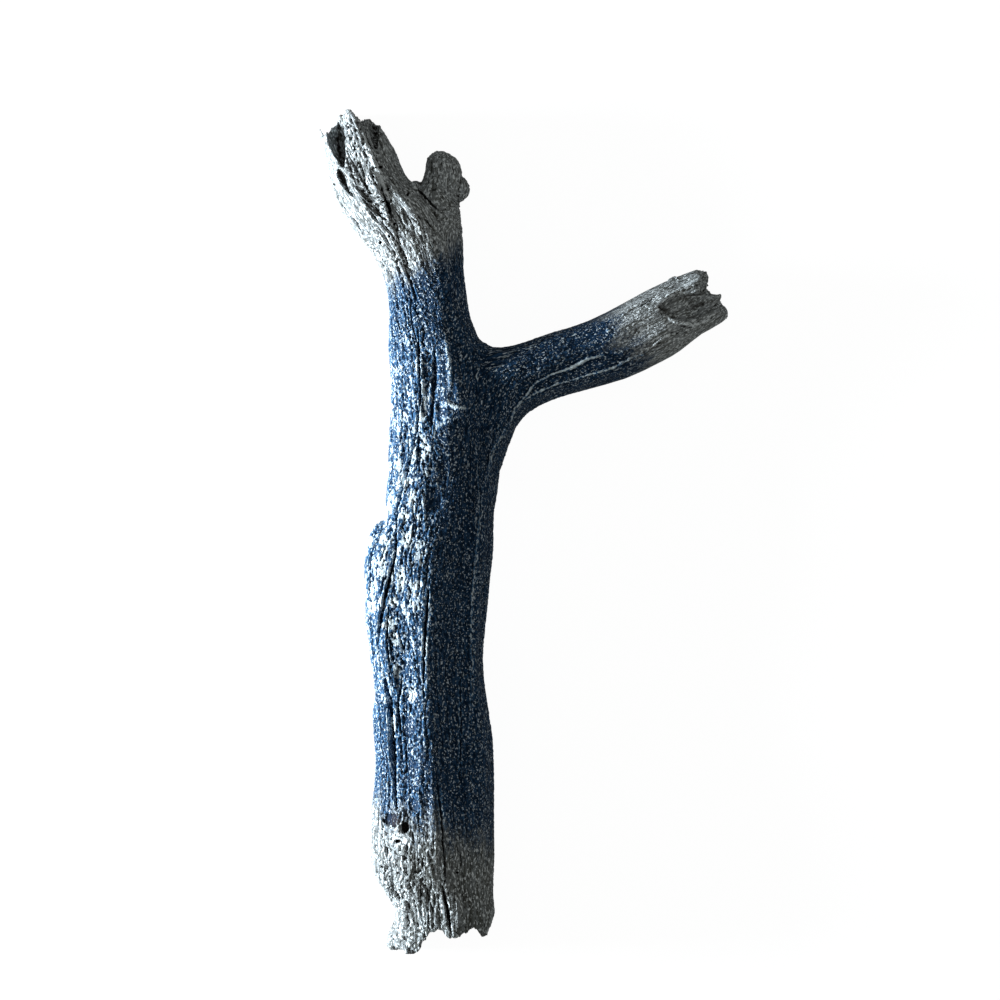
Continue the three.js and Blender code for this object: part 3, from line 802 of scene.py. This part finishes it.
normals = outward(skin)
for _ in range(int((NORMAL_ROUNDING * MM / CELL) ** 2)):
    normals = mean(normals)
normals /= np.linalg.norm(normals, axis=1)[:, None]
lift = relief(points, normals, grain_of_skin, paint)
moved_points = points + lift[:, None] * normals
low_corner, high_corner = (np.array(corner) / MM for corner in cad_box)
moved_points = np.clip(moved_points, low_corner, high_corner)
place(skin, moved_points)
print("relief from", round(lift.min(), 2), "to", round(lift.max(), 2), "mm")

# %% [markdown]
# ## Beetle holes
# Bare driftwood is dotted with round holes that beetles left, about 1.4 mm wide. They are too small
# and too sharp for the net of the skin, so they are drilled: a Boolean takes many short cylinders
# away at once. Dark dots in the material would be quicker, but they would not look deep.

# %% Drill the holes
HOLE_WIDTH = 1.4
HOLE_DEPTH = 3
HOLE_LEAN = 0.4
HOLE_SPREAD = (0.85, 1.15)
HOLES_IN_TIP = [
    (-85.5, 155.9), (-67, 172.1), (-64.3, 163), (-67.5, 158.6), (-60.8, 152.8), (-63, 147.4),
    (-52.2, 150.5), (-60.3, 132), (-64.3, 129.4), (-78.7, 181), (-58, 137.5),
]
HOLES_IN_FOOT = [(-56.7, -137.9), (-47, -146), (-30, -152), (-63.5, -150)]
HOLE_SIDES = 10


def drills(tree, spots):
    """Short cylinders that stand in the skin, each leaning a little its own way."""
    shape = bmesh.new()
    lean = np.random.default_rng(SEED + 1)
    for x, y in spots:
        turn = Matrix.Rotation(lean.uniform(-HOLE_LEAN, HOLE_LEAN), 4, "X")
        turn @= Matrix.Rotation(lean.uniform(-HOLE_LEAN, HOLE_LEAN), 4, "Y")
        radius = HOLE_WIDTH / 2 * lean.uniform(*HOLE_SPREAD) * MM
        spot, _, _, _ = tree.ray_cast(Vector((x * MM, y * MM, 1)), Vector((0, 0, -1)))
        bmesh.ops.create_cone(
            shape, cap_ends=True, segments=HOLE_SIDES, radius1=radius, radius2=radius,
            depth=2 * HOLE_DEPTH * MM, matrix=Matrix.Translation(spot) @ turn,
        )
    return as_mesh(shape, "drills")


def search_tree(mesh):
    """What finds where a ray meets a mesh."""
    shape = bmesh.new()
    shape.from_mesh(mesh)
    tree = BVHTree.FromBMesh(shape)
    shape.free()
    return tree


spots = HOLES_IN_TIP + HOLES_IN_FOOT
drill = bpy.data.objects.new("drills", drills(search_tree(skin), spots))
bpy.context.collection.objects.link(drill)
before = len(skin.vertices)
skin = modified(skin, "BOOLEAN", operation="DIFFERENCE", solver="MANIFOLD", object=drill)
bpy.data.objects.remove(drill)
print("drilled", len(spots), "holes, vertices", before, "to", len(skin.vertices))

# %% [markdown]
# ## What the materials need to know
# The material makes pits darker and ridges paler, so it has to know which points are low. In the paint
# the dark pits are a painted shade, and the pale ridges are partly rubbed paint and partly a painted
# highlight. Blender's pointiness could tell, but it changes with the size of the triangles. A point is
# compared with its surroundings here, at two scales, and the result is kept on the mesh with the grain,
# the paint, its wear and painted highlights, the bleached places, the painted highlight on the foot's
# lit side and the rot in the hollows.

# %% Keep the grain, the paint, the relief, the weathering and the painted light on the skin
FINE_REACH = 0.9
WIDE_REACH = 2.6
FINE_ROUNDS = int((FINE_REACH * MM / CELL) ** 2) + 1
WIDE_ROUNDS = int((WIDE_REACH * MM / CELL) ** 2) + 1
# Paler on the lit left side of the foot: a painted highlight.
FOOT_HIGHLIGHT_X = (-62, -56, -50, -40, -25)
FOOT_PAINTED_HIGHLIGHT = (1, 0.9, 0.4, 0.45, 0.15)
BLEACH_Y = (-90, 20)


def keep(mesh, name, kind, field, values):
    """Keeps a value for each vertex under a name that a material can read."""
    attribute = mesh.attributes.new(name, kind, "POINT")
    attribute.data.foreach_set(field, values.astype(np.float32).ravel())


def bleach_and_lit_side_share(points):
    """How pale the bare wood is: sun-bleached fully at the top; on the foot's lit left, a painted highlight.
    """
    # On the foot the paleness follows the lit left side: a painted highlight.
    foot = np.interp(points[:, 0], FOOT_HIGHLIGHT_X, FOOT_PAINTED_HIGHLIGHT)
    return foot + (1 - foot) * ramp(*BLEACH_Y, points[:, 1])


points = places(skin)
normals = outward(skin)
mean = neighbour_mean(skin)
rounded = points
reliefs = []
for turn in range(WIDE_ROUNDS):
    rounded = mean(rounded)
    if turn + 1 in (FINE_ROUNDS, WIDE_ROUNDS):
        reliefs.append(((points - rounded) * normals).sum(1))
grain_of_skin = grain(points)
keep(skin, "grain", "FLOAT_VECTOR", "vector", grain_of_skin)
keep(skin, "paint", "FLOAT", "value", paint_share(points, grain_of_skin))
keep(skin, "fine_relief", "FLOAT", "value", reliefs[0])
keep(skin, "wide_relief", "FLOAT", "value", reliefs[1])
# Paler paint: partly wear, partly a painted highlight on the lit side and the ridges.
keep(skin, "wear_and_highlight", "FLOAT", "value", wear_and_highlight_share(points, normals, grain_of_skin))
# Paleness of the bare wood: sun bleach at the top, a painted highlight on the foot's lit side.
keep(skin, "bleach_and_lit_side", "FLOAT", "value", bleach_and_lit_side_share(points))
keep(skin, "rot", "FLOAT", "value", in_hollows(points, normals, edge_noise(grain_of_skin)))
print("fine relief spread:", np.percentile(reliefs[0], (2, 50, 98)).round(2))
print("wide relief spread:", np.percentile(reliefs[1], (2, 50, 98)).round(2))

# %% [markdown]
# ## Parting the skin at the forks
# The branch is one piece of wood, but it is made as four parts, one for each solid. The skin is
# cut along the same fork lines, so the parts meet edge to edge and no joint shows. A Boolean with
# four blocks could part it, but a plane that cuts only the faces near a fork is quicker and cleaner.

# %% Where the skin is cut, and which piece each face belongs to
UPPER_LIMB_Y = 84
STUB_REGION = (-50.5, 130)
PIECES = ["trunk", "upper_limb", "side_branch", "knot_stub"]
CUT_REACH = 4
CUT_MERGE = 1e-7
FORK_LEFT_X = -60


def centres(shape):
    """The middles of a bmesh's faces, in millimetres."""
    return np.array([face.calc_center_median() for face in shape.faces]) / MM


def past_stub_corner(spots):
    """Whether each point lies in the corner, seen from above, that holds the stub."""
    return (spots[:, 0] > STUB_REGION[0]) & (spots[:, 1] > STUB_REGION[1])


def piece_number(spots):
    """Which of the pieces each point belongs to, by its place in the list."""
    number = np.where(spots[:, 1] < UPPER_LIMB_Y, PIECES.index("trunk"), PIECES.index("upper_limb"))
    in_stub = past_stub_corner(spots) & (side_of(spots, STUB_LINE) > 0)
    number[in_stub] = PIECES.index("knot_stub")
    number[side_of(spots, FORK_LINE) > 0] = PIECES.index("side_branch")
    return number


def cut(shape, distance, at, normal):
    """Cuts the faces within reach along an upright plane through a point."""
    shape.faces.ensure_lookup_table()
    faces = [shape.faces[index] for index in np.flatnonzero(np.abs(distance) < CUT_REACH)]
    edges = {edge for face in faces for edge in face.edges}
    verts = {vertex for face in faces for vertex in face.verts}
    bmesh.ops.bisect_plane(
        shape, geom=[*verts, *edges, *faces], dist=CUT_MERGE,
        plane_co=Vector((*at, 0)) * MM, plane_no=Vector((*normal, 0)),
    )


def cut_along(shape, line, region):
    """Cuts a bmesh along one of the fork lines, inside a region."""
    middles = centres(shape)
    distance = np.where(region(middles), side_of(middles, line), np.inf)
    run = np.subtract(line["to"], line["at"])
    cut(shape, distance, line["at"], (-run[1], run[0]))


whole = bmesh.new()
whole.from_mesh(skin)
bpy.data.meshes.remove(skin)
cut_along(whole, FORK_LINE, lambda spots: spots[:, 0] > FORK_LEFT_X)
cut_along(whole, STUB_LINE, past_stub_corner)
middles = centres(whole)
above_the_cut = np.where(side_of(middles, FORK_LINE) < 0, middles[:, 1] - UPPER_LIMB_Y, np.inf)
cut(whole, above_the_cut, (0, UPPER_LIMB_Y), (0, 1))
for face, number in zip(whole.faces, piece_number(centres(whole))):
    face.material_index = int(number)
print("the cut skin has", len(whole.faces), "faces")

# %% [markdown]
# ## Four closed pieces
# Each piece is a solid of its own, so it may have no open edge: each cut is closed with a flat cap.
# The three long pieces have more triangles than they need. They are thinned by a Decimate modifier,
# which takes the flattest places first, and so the grain stays sharp.

# %% Part the skin, thin the long pieces and close them all
MOST_TRIANGLES = 190000


def close(shape):
    """Caps each open edge of a piece with flat-shaded triangles."""
    for face in shape.faces:
        face.smooth = True
        face.material_index = 0
    rims = [edge for edge in shape.edges if edge.is_boundary]
    caps = bmesh.ops.holes_fill(shape, edges=rims, sides=0)["faces"]
    for face in bmesh.ops.triangulate(shape, faces=caps)["faces"]:
        face.smooth = False
    for edge in rims:
        edge.smooth = False


def parted(shape, number):
    """One piece of the cut skin, thinned if it has too many triangles, and closed."""
    part = shape.copy()
    others = [face for face in part.faces if face.material_index != number]
    bmesh.ops.delete(part, geom=others, context="FACES")
    bmesh.ops.triangulate(part, faces=part.faces)
    count = len(part.faces)
    mesh = as_mesh(part, PIECES[number])
    if count > MOST_TRIANGLES:
        mesh = modified(mesh, "DECIMATE", ratio=MOST_TRIANGLES / count)
    part = bmesh.new()
    part.from_mesh(mesh)
    bpy.data.meshes.remove(mesh)
    close(part)
    mesh = as_mesh(part, PIECES[number])
    place(mesh, np.clip(places(mesh), low_corner, high_corner))
    return mesh


objects = {}
for number, name in enumerate(PIECES):
    mesh = parted(whole, number)
    objects[name] = bpy.data.objects.new("driftwood_" + name, mesh)
    bpy.context.collection.objects.link(objects[name])
    print(name, "has", sum(len(face.vertices) - 2 for face in mesh.polygons), "triangles")
whole.free()

# %% [markdown]
# ## Nodes made by short calls
# A material is a tree of nodes. In the editor it is wired by hand; in a script each node takes one
# short call, with its links and settings in it, so that a finish reads from the wood upwards.

# %% Helpers for material nodes


def new_node(tree, kind, sockets=None, **settings):
    """A node with its settings made and its sockets linked or filled."""
    made = tree.nodes.new("ShaderNode" + kind)
    for name, value in settings.items():
        setattr(made, name, value)
    for name, value in (sockets or {}).items():
        if isinstance(value, bpy.types.NodeSocket):
            tree.links.new(value, made.inputs[name])
        else:
            made.inputs[name].default_value = value
    return made


def kept(tree, name, output="Fac"):
    """The socket that gives a value kept on the mesh."""
    return new_node(tree, "Attribute", attribute_name=name).outputs[output]


def grain_noise(tree, look):
    """Noise from 0 to 1 with cells so wide across the grain and so long along it, in millimetres."""
    across, along, detail = look["cells"]
    shift = look.get("shift", 0)
    scaled = new_node(
        tree, "Mapping",
        {"Vector": kept(tree, "grain", "Vector"), "Location": (shift, shift, shift),
         "Scale": (1 / across, 1 / across, 1 / along)},
    )
    made = new_node(
        tree, "TexNoise",
        {"Vector": scaled.outputs["Vector"], "Scale": 1, "Detail": detail, "Roughness": 0.5},
    )
    return made.outputs["Fac"]


def spread(tree, value, low, high, to_low=0.0, to_high=1.0):
    """A value from low to high stretched to another range and clamped, with soft ends."""
    made = new_node(
        tree, "MapRange",
        {"Value": value, "From Min": low, "From Max": high, "To Min": to_low, "To Max": to_high},
        interpolation_type="SMOOTHSTEP",
    )
    return made.outputs["Result"]


def maths(tree, operation, first, second):
    """Two values put together by one operation."""
    made = new_node(tree, "Math", operation=operation)
    for socket, value in zip(made.inputs, (first, second)):
        if isinstance(value, bpy.types.NodeSocket):
            tree.links.new(value, socket)
        else:
            socket.default_value = value
    return made.outputs["Value"]


def blended(tree, share, first, second):
    """Two colours blended by a share."""
    made = new_node(tree, "Mix", data_type="RGBA")
    for socket, value in zip((made.inputs[0], made.inputs[6], made.inputs[7]), (share, first, second)):
        if isinstance(value, bpy.types.NodeSocket):
            tree.links.new(value, socket)
        else:
            socket.default_value = (*value, 1) if isinstance(value, tuple) else value
    return made.outputs[2]


def plus(tree, first, second, times):
    """A value with a multiple of another one added."""
    return maths(tree, "ADD", first, maths(tree, "MULTIPLY", second, times))


def pattern(tree, look):
    """How much of a colour a noise pattern shows, pushed up by values kept on the mesh."""
    value = grain_noise(tree, look)
    for name, times in look.get("pushed_by", {}).items():
        value = plus(tree, value, kept(tree, name), times)
    return spread(tree, value, *look["levels"], 0, look.get("most", 1))


print("helpers for nodes are ready")

# %% [markdown]
# ## The two finishes
# Bare driftwood is bleached silver grey on what stands out, darker and browner in its furrows, and
# quite matt. At the foot its lit left side is made paler too, a painted highlight. The paint is nearly
# black navy, a little smoother, and thinner on the ridges, where a lighter blue shows, partly thin
# paint and partly a painted highlight. Two materials would meet in a hard line, so one material holds
# both, and the mask of the spray, broken up into droplets, says how much of each shows.

# %% The colours, and the patterns that they make
SILVER = (0.2, 0.215, 0.22)
FURROW_GREY = (0.075, 0.076, 0.066)
# The next two are used at the sun-bleached top and, as a painted highlight, on the foot's lit side.
BLEACHED_AND_LIT_SILVER = (0.35, 0.37, 0.385)
BLEACHED_AND_LIT_FURROW = (0.14, 0.143, 0.136)
PALE_GRAIN = (0.82, 0.86, 0.88)
BROWN = (0.07, 0.042, 0.025)
ROT_BROWN = (0.016, 0.0085, 0.006)
DARK_PORES_AND_PITS = (0.01, 0.009, 0.008)
NAVY = (0.015, 0.048, 0.108)
DEEP_NAVY = (0.002, 0.0125, 0.033)
# Lighter blue on the ridges and the lit side: partly rubbed paint, partly a painted highlight.
RUBBED_AND_HIGHLIT_BLUE = (0.085, 0.22, 0.41)
# Pale specks: partly real, partly painted glints on the raised grain.
PALE_SPECK_AND_GLINT = (0.62, 0.7, 0.74)
DROPLET = (0.72, 0.8, 0.88)
WOOD_PATTERNS = {
    "streaks": {"cells": (0.9, 16, 3), "levels": (0.35, 0.65)},
    "blotches": {"cells": (5, 12, 3), "shift": 5, "levels": (0.5, 0.72), "most": 0.55},
    "pale fibres": {"cells": (0.8, 1.8, 2), "shift": 41, "levels": (0.54, 0.64), "most": 0.9,
                    "pushed_by": {"wear_and_highlight": 0.15, "bleach_and_lit_side": 0.025}},
    "pores": {"cells": (0.7, 1.8, 2), "shift": 47, "levels": (0.42, 0.32), "most": 0.85},
}
PAINT_PATTERNS = {
    "mottle": {"cells": (1.1, 2.4, 3), "shift": 9, "levels": (0.4, 0.62),
               "pushed_by": {"wear_and_highlight": 0.45}},
    "droplets": {"cells": (0.7, 0.95, 1), "shift": 51, "levels": (0.61, 0.69), "most": 0.8,
                 "pushed_by": {"wear_and_highlight": 0.13}},
    # Pale specks, more on the raised grain and the lit side: partly real, partly painted glints.
    "pale specks and glints": {"cells": (0.95, 1.6, 2), "shift": 61, "levels": (0.61, 0.77), "most": 0.97,
                   "pushed_by": {"wear_and_highlight": 0.28, "fine_relief": 0.3}},
}
print("patterns:", ", ".join([*WOOD_PATTERNS, *PAINT_PATTERNS]))

# %% [markdown]
# ## The bare wood
# Each finish starts with its ground colour. The patterns come next, and what the relief does comes
# last, with the darker pits over all else. A painted texture would need the branch unwrapped first,
# and these layers don't. Each range below says where an effect starts, where it is strongest, and its
# least and greatest share.

# %% The colour of the bare wood
BROWN_FURROWS = (-0.2, -1.1, 0, 0.8)
DARKER_PITS = (-0.03, -0.22, 0, 0.9)
ROTTEN = (1, 1.3, 0, 0.97)


def bare_wood(tree):
    """The colour of the bare wood, from its streaks to the darker pits."""
    streaks = pattern(tree, WOOD_PATTERNS["streaks"])
    dull = blended(tree, streaks, FURROW_GREY, SILVER)
    # Paler at the sun-bleached top, and on the lit left side of the foot as a painted highlight.
    bleached = blended(tree, streaks, BLEACHED_AND_LIT_FURROW, BLEACHED_AND_LIT_SILVER)
    colour = blended(tree, kept(tree, "bleach_and_lit_side"), dull, bleached)
    colour = blended(tree, pattern(tree, WOOD_PATTERNS["blotches"]), colour, FURROW_GREY)
    colour = blended(tree, pattern(tree, WOOD_PATTERNS["pale fibres"]), colour, PALE_GRAIN)
    colour = blended(tree, spread(tree, kept(tree, "wide_relief"), *BROWN_FURROWS), colour, BROWN)
    colour = blended(tree, pattern(tree, WOOD_PATTERNS["pores"]), colour, DARK_PORES_AND_PITS)
    colour = blended(tree, spread(tree, kept(tree, "rot"), *ROTTEN), colour, ROT_BROWN)
    # The pits are made darker.
    return blended(tree, spread(tree, kept(tree, "fine_relief"), *DARKER_PITS), colour, DARK_PORES_AND_PITS)


print("the bare wood is made of", len(WOOD_PATTERNS), "patterns")

# %% [markdown]
# ## The paint
# The paint is thickest in the furrows and lighter on the ridges, partly rubbed thin and partly a
# painted highlight, most of all on the lit side left of the crest. Fine pale specks lie all over it,
# more of them on the raised grain as painted glints, and pale clumps on the lit side, partly worn
# through and partly a painted highlight. The pits are painted deep navy, a painted shade. A real
# spray fades out in droplets, so noise is added to the soft mask before its edge is drawn.

# %% The colour of the paint, and where it shows
RUBBED_AND_HIGHLIT_RIDGES = (0.04, 0.22, 0, 0.45)
RUBBED_BY_WEAR_AND_HIGHLIGHT = 0.3
# The pits of the paint are painted deep navy: a painted shade.
PAINTED_PIT_SHADE = (-0.03, -0.18, 0, 0.95)
SPRAY_DROPLETS = {"cells": (0.7, 0.9, 2), "shift": 21}
DROPLET_SHARE = 0.9
SPRAY_CLOUD = {"cells": (4, 9, 3), "shift": 33}
CLOUD_SHARE = 0.6
SPRAY_EDGE = (0.95, 1.6)


def navy_paint(tree):
    """The colour of the paint: pale specks, lighter ridges and pale clumps, partly worn and partly a painted
    highlight, and painted shade in the pits.
    """
    fine = kept(tree, "fine_relief")
    colour = blended(tree, pattern(tree, PAINT_PATTERNS["mottle"]), DEEP_NAVY, NAVY)
    # Lighter blue on the ridges and the lit side: partly rubbed paint, partly a painted highlight.
    rubbed = spread(tree, plus(tree, fine, kept(tree, "wear_and_highlight"), RUBBED_BY_WEAR_AND_HIGHLIGHT), *RUBBED_AND_HIGHLIT_RIDGES)
    colour = blended(tree, rubbed, colour, RUBBED_AND_HIGHLIT_BLUE)
    colour = blended(tree, pattern(tree, PAINT_PATTERNS["droplets"]), colour, DROPLET)
    # Pale specks, more on the raised grain and the lit side: partly real, partly painted glints.
    colour = blended(tree, pattern(tree, PAINT_PATTERNS["pale specks and glints"]), colour, PALE_SPECK_AND_GLINT)
    # The pits are painted deep navy: a painted shade.
    return blended(tree, spread(tree, fine, *PAINTED_PIT_SHADE), colour, DEEP_NAVY)


def spray(tree):
    """How much paint shows at a point, with droplets where it fades out."""
    dotted = plus(tree, kept(tree, "paint"), grain_noise(tree, SPRAY_DROPLETS), DROPLET_SHARE)
    clouded = plus(tree, dotted, grain_noise(tree, SPRAY_CLOUD), CLOUD_SHARE)
    return spread(tree, clouded, *SPRAY_EDGE)


print("the paint is made of", len(PAINT_PATTERNS), "patterns")

# %% [markdown]
# ## One material on all four pieces
# The bare wood is quite matt, and the paint has a little more gloss, in spots. Relief finer than the
# skin's squares is left to a bump: grit, and threads of fibre that lie along the grain. All four
# pieces share the material, so that nothing changes where they meet.

# %% The material that holds both finishes, and the pieces that wear it
WOOD_ROUGHNESS = 0.85
GLOSS_SPOTS = {"cells": (2.2, 3.5, 2), "shift": 13}
PAINT_SMOOTHING = (0.3, 0.7, -0.25, -0.12)
SHEEN_LEVEL = 0.07
FINEST_GRIT = {"cells": (0.75, 1.1, 2), "shift": 3}
THREADS = {"cells": (0.5, 9, 2), "shift": 7}
BUMP_HEIGHT = 0.6


def driftwood_material():
    """Bare wood and paint in one material, blended by the spray."""
    material = bpy.data.materials.new("sprayed_driftwood")
    material.use_nodes = True
    tree = material.node_tree
    tree.nodes.clear()
    painted = spray(tree)
    colour = blended(tree, painted, bare_wood(tree), navy_paint(tree))
    smoothing = spread(tree, grain_noise(tree, GLOSS_SPOTS), *PAINT_SMOOTHING)
    roughness = maths(tree, "ADD", maths(tree, "MULTIPLY", painted, smoothing), WOOD_ROUGHNESS)
    height = maths(tree, "ADD", grain_noise(tree, FINEST_GRIT), grain_noise(tree, THREADS))
    bump = new_node(tree, "Bump", {"Height": height, "Strength": 1.0, "Distance": BUMP_HEIGHT * MM})
    shader = new_node(
        tree, "BsdfPrincipled",
        {"Base Color": colour, "Roughness": roughness, "Normal": bump.outputs["Normal"],
         "Specular IOR Level": SHEEN_LEVEL},
    )
    output = new_node(tree, "OutputMaterial")
    tree.links.new(shader.outputs["BSDF"], output.inputs["Surface"])
    return material


wood = driftwood_material()
for name, piece in objects.items():
    piece.data.materials.clear()
    piece.data.materials.append(wood)
    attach(piece, "root")
    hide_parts(name)
print("finished", len(objects), "pieces with", len(wood.node_tree.nodes), "nodes")

# %% [markdown]
# ## The table, the light and the camera
# The picture was taken from straight above, with one soft, cool light low on the left, and hardly
# any light from the right. The paint is nearly black on its right side for that reason. The table
# is plain and pale. It gives no light back to the wood, because the real picture shows none.

# %% Floor, lights and camera
FLOOR_HALF = 3
FLOOR_GAP = 0.1
FLOOR_GLOW = 0.96
FLOOR_SHADE = 0.12
KEY = {"power": 74, "colour": (0.84, 0.94, 1.0), "size": 0.45, "turn": 180, "rise": 6.3, "distance": 1.2}
FILL = {"power": 0.9, "colour": (1.0, 0.95, 0.82), "size": 1.2, "turn": -10, "rise": 35, "distance": 1.5}
SKY = (0.22, 0.23, 0.225)
CAMERA_DISTANCE = 2.4
CAMERA_REACH = 20
VIEW_WIDTH = 0.45
VIEW_CENTRE = (-0.0108, 0.0142, 0.02)
SENSOR = 36


def floor():
    """A big pale sheet just under the wood that mostly glows by itself."""
    shape = bmesh.new()
    bmesh.ops.create_grid(shape, x_segments=1, y_segments=1, size=FLOOR_HALF)
    sheet = bpy.data.objects.new("table", as_mesh(shape, "table"))
    bpy.context.collection.objects.link(sheet)
    sheet.location.z = -FLOOR_GAP * MM
    material = bpy.data.materials.new("pale_table")
    material.use_nodes = True
    tree = material.node_tree
    tree.nodes.clear()
    glow = new_node(tree, "Emission", {"Color": (1, 1, 1, 1), "Strength": FLOOR_GLOW})
    matt = new_node(tree, "BsdfDiffuse", {"Color": (FLOOR_SHADE, FLOOR_SHADE, FLOOR_SHADE, 1)})
    both = new_node(tree, "AddShader")
    tree.links.new(glow.outputs[0], both.inputs[0])
    tree.links.new(matt.outputs[0], both.inputs[1])
    output = new_node(tree, "OutputMaterial")
    tree.links.new(both.outputs[0], output.inputs["Surface"])
    sheet.data.materials.append(material)
    sheet.visible_diffuse = False
    sheet.visible_glossy = False


def soft_light(name, light):
    """A square area light that faces the middle of the wood."""
    lamp = bpy.data.lights.new(name, "AREA")
    lamp.energy = light["power"]
    lamp.color = light["colour"]
    lamp.size = light["size"]
    turn, rise = math.radians(light["turn"]), math.radians(light["rise"])
    level = light["distance"] * math.cos(rise)
    spot = Vector((level * math.cos(turn), level * math.sin(turn), light["distance"] * math.sin(rise)))
    lit = bpy.data.objects.new(name, lamp)
    lit.location = spot
    lit.rotation_euler = (-spot).to_track_quat("-Z", "Y").to_euler()
    bpy.context.collection.objects.link(lit)


floor()
soft_light("key", KEY)
soft_light("fill", FILL)
world = bpy.data.worlds.new("dim room")
world.use_nodes = True
world.node_tree.nodes["Background"].inputs["Color"].default_value = (*SKY, 1)
bpy.context.scene.world = world
lens = bpy.data.cameras.new("overhead")
lens.sensor_width = SENSOR
lens.lens = SENSOR * CAMERA_DISTANCE / VIEW_WIDTH
lens.clip_end = CAMERA_REACH
camera = bpy.data.objects.new("overhead", lens)
camera.location = Vector(VIEW_CENTRE) + Vector((0, 0, CAMERA_DISTANCE))
bpy.context.collection.objects.link(camera)
bpy.context.scene.camera = camera
bpy.context.scene.view_settings.view_transform = "Standard"
print("the camera's lens is", round(lens.lens), "mm")
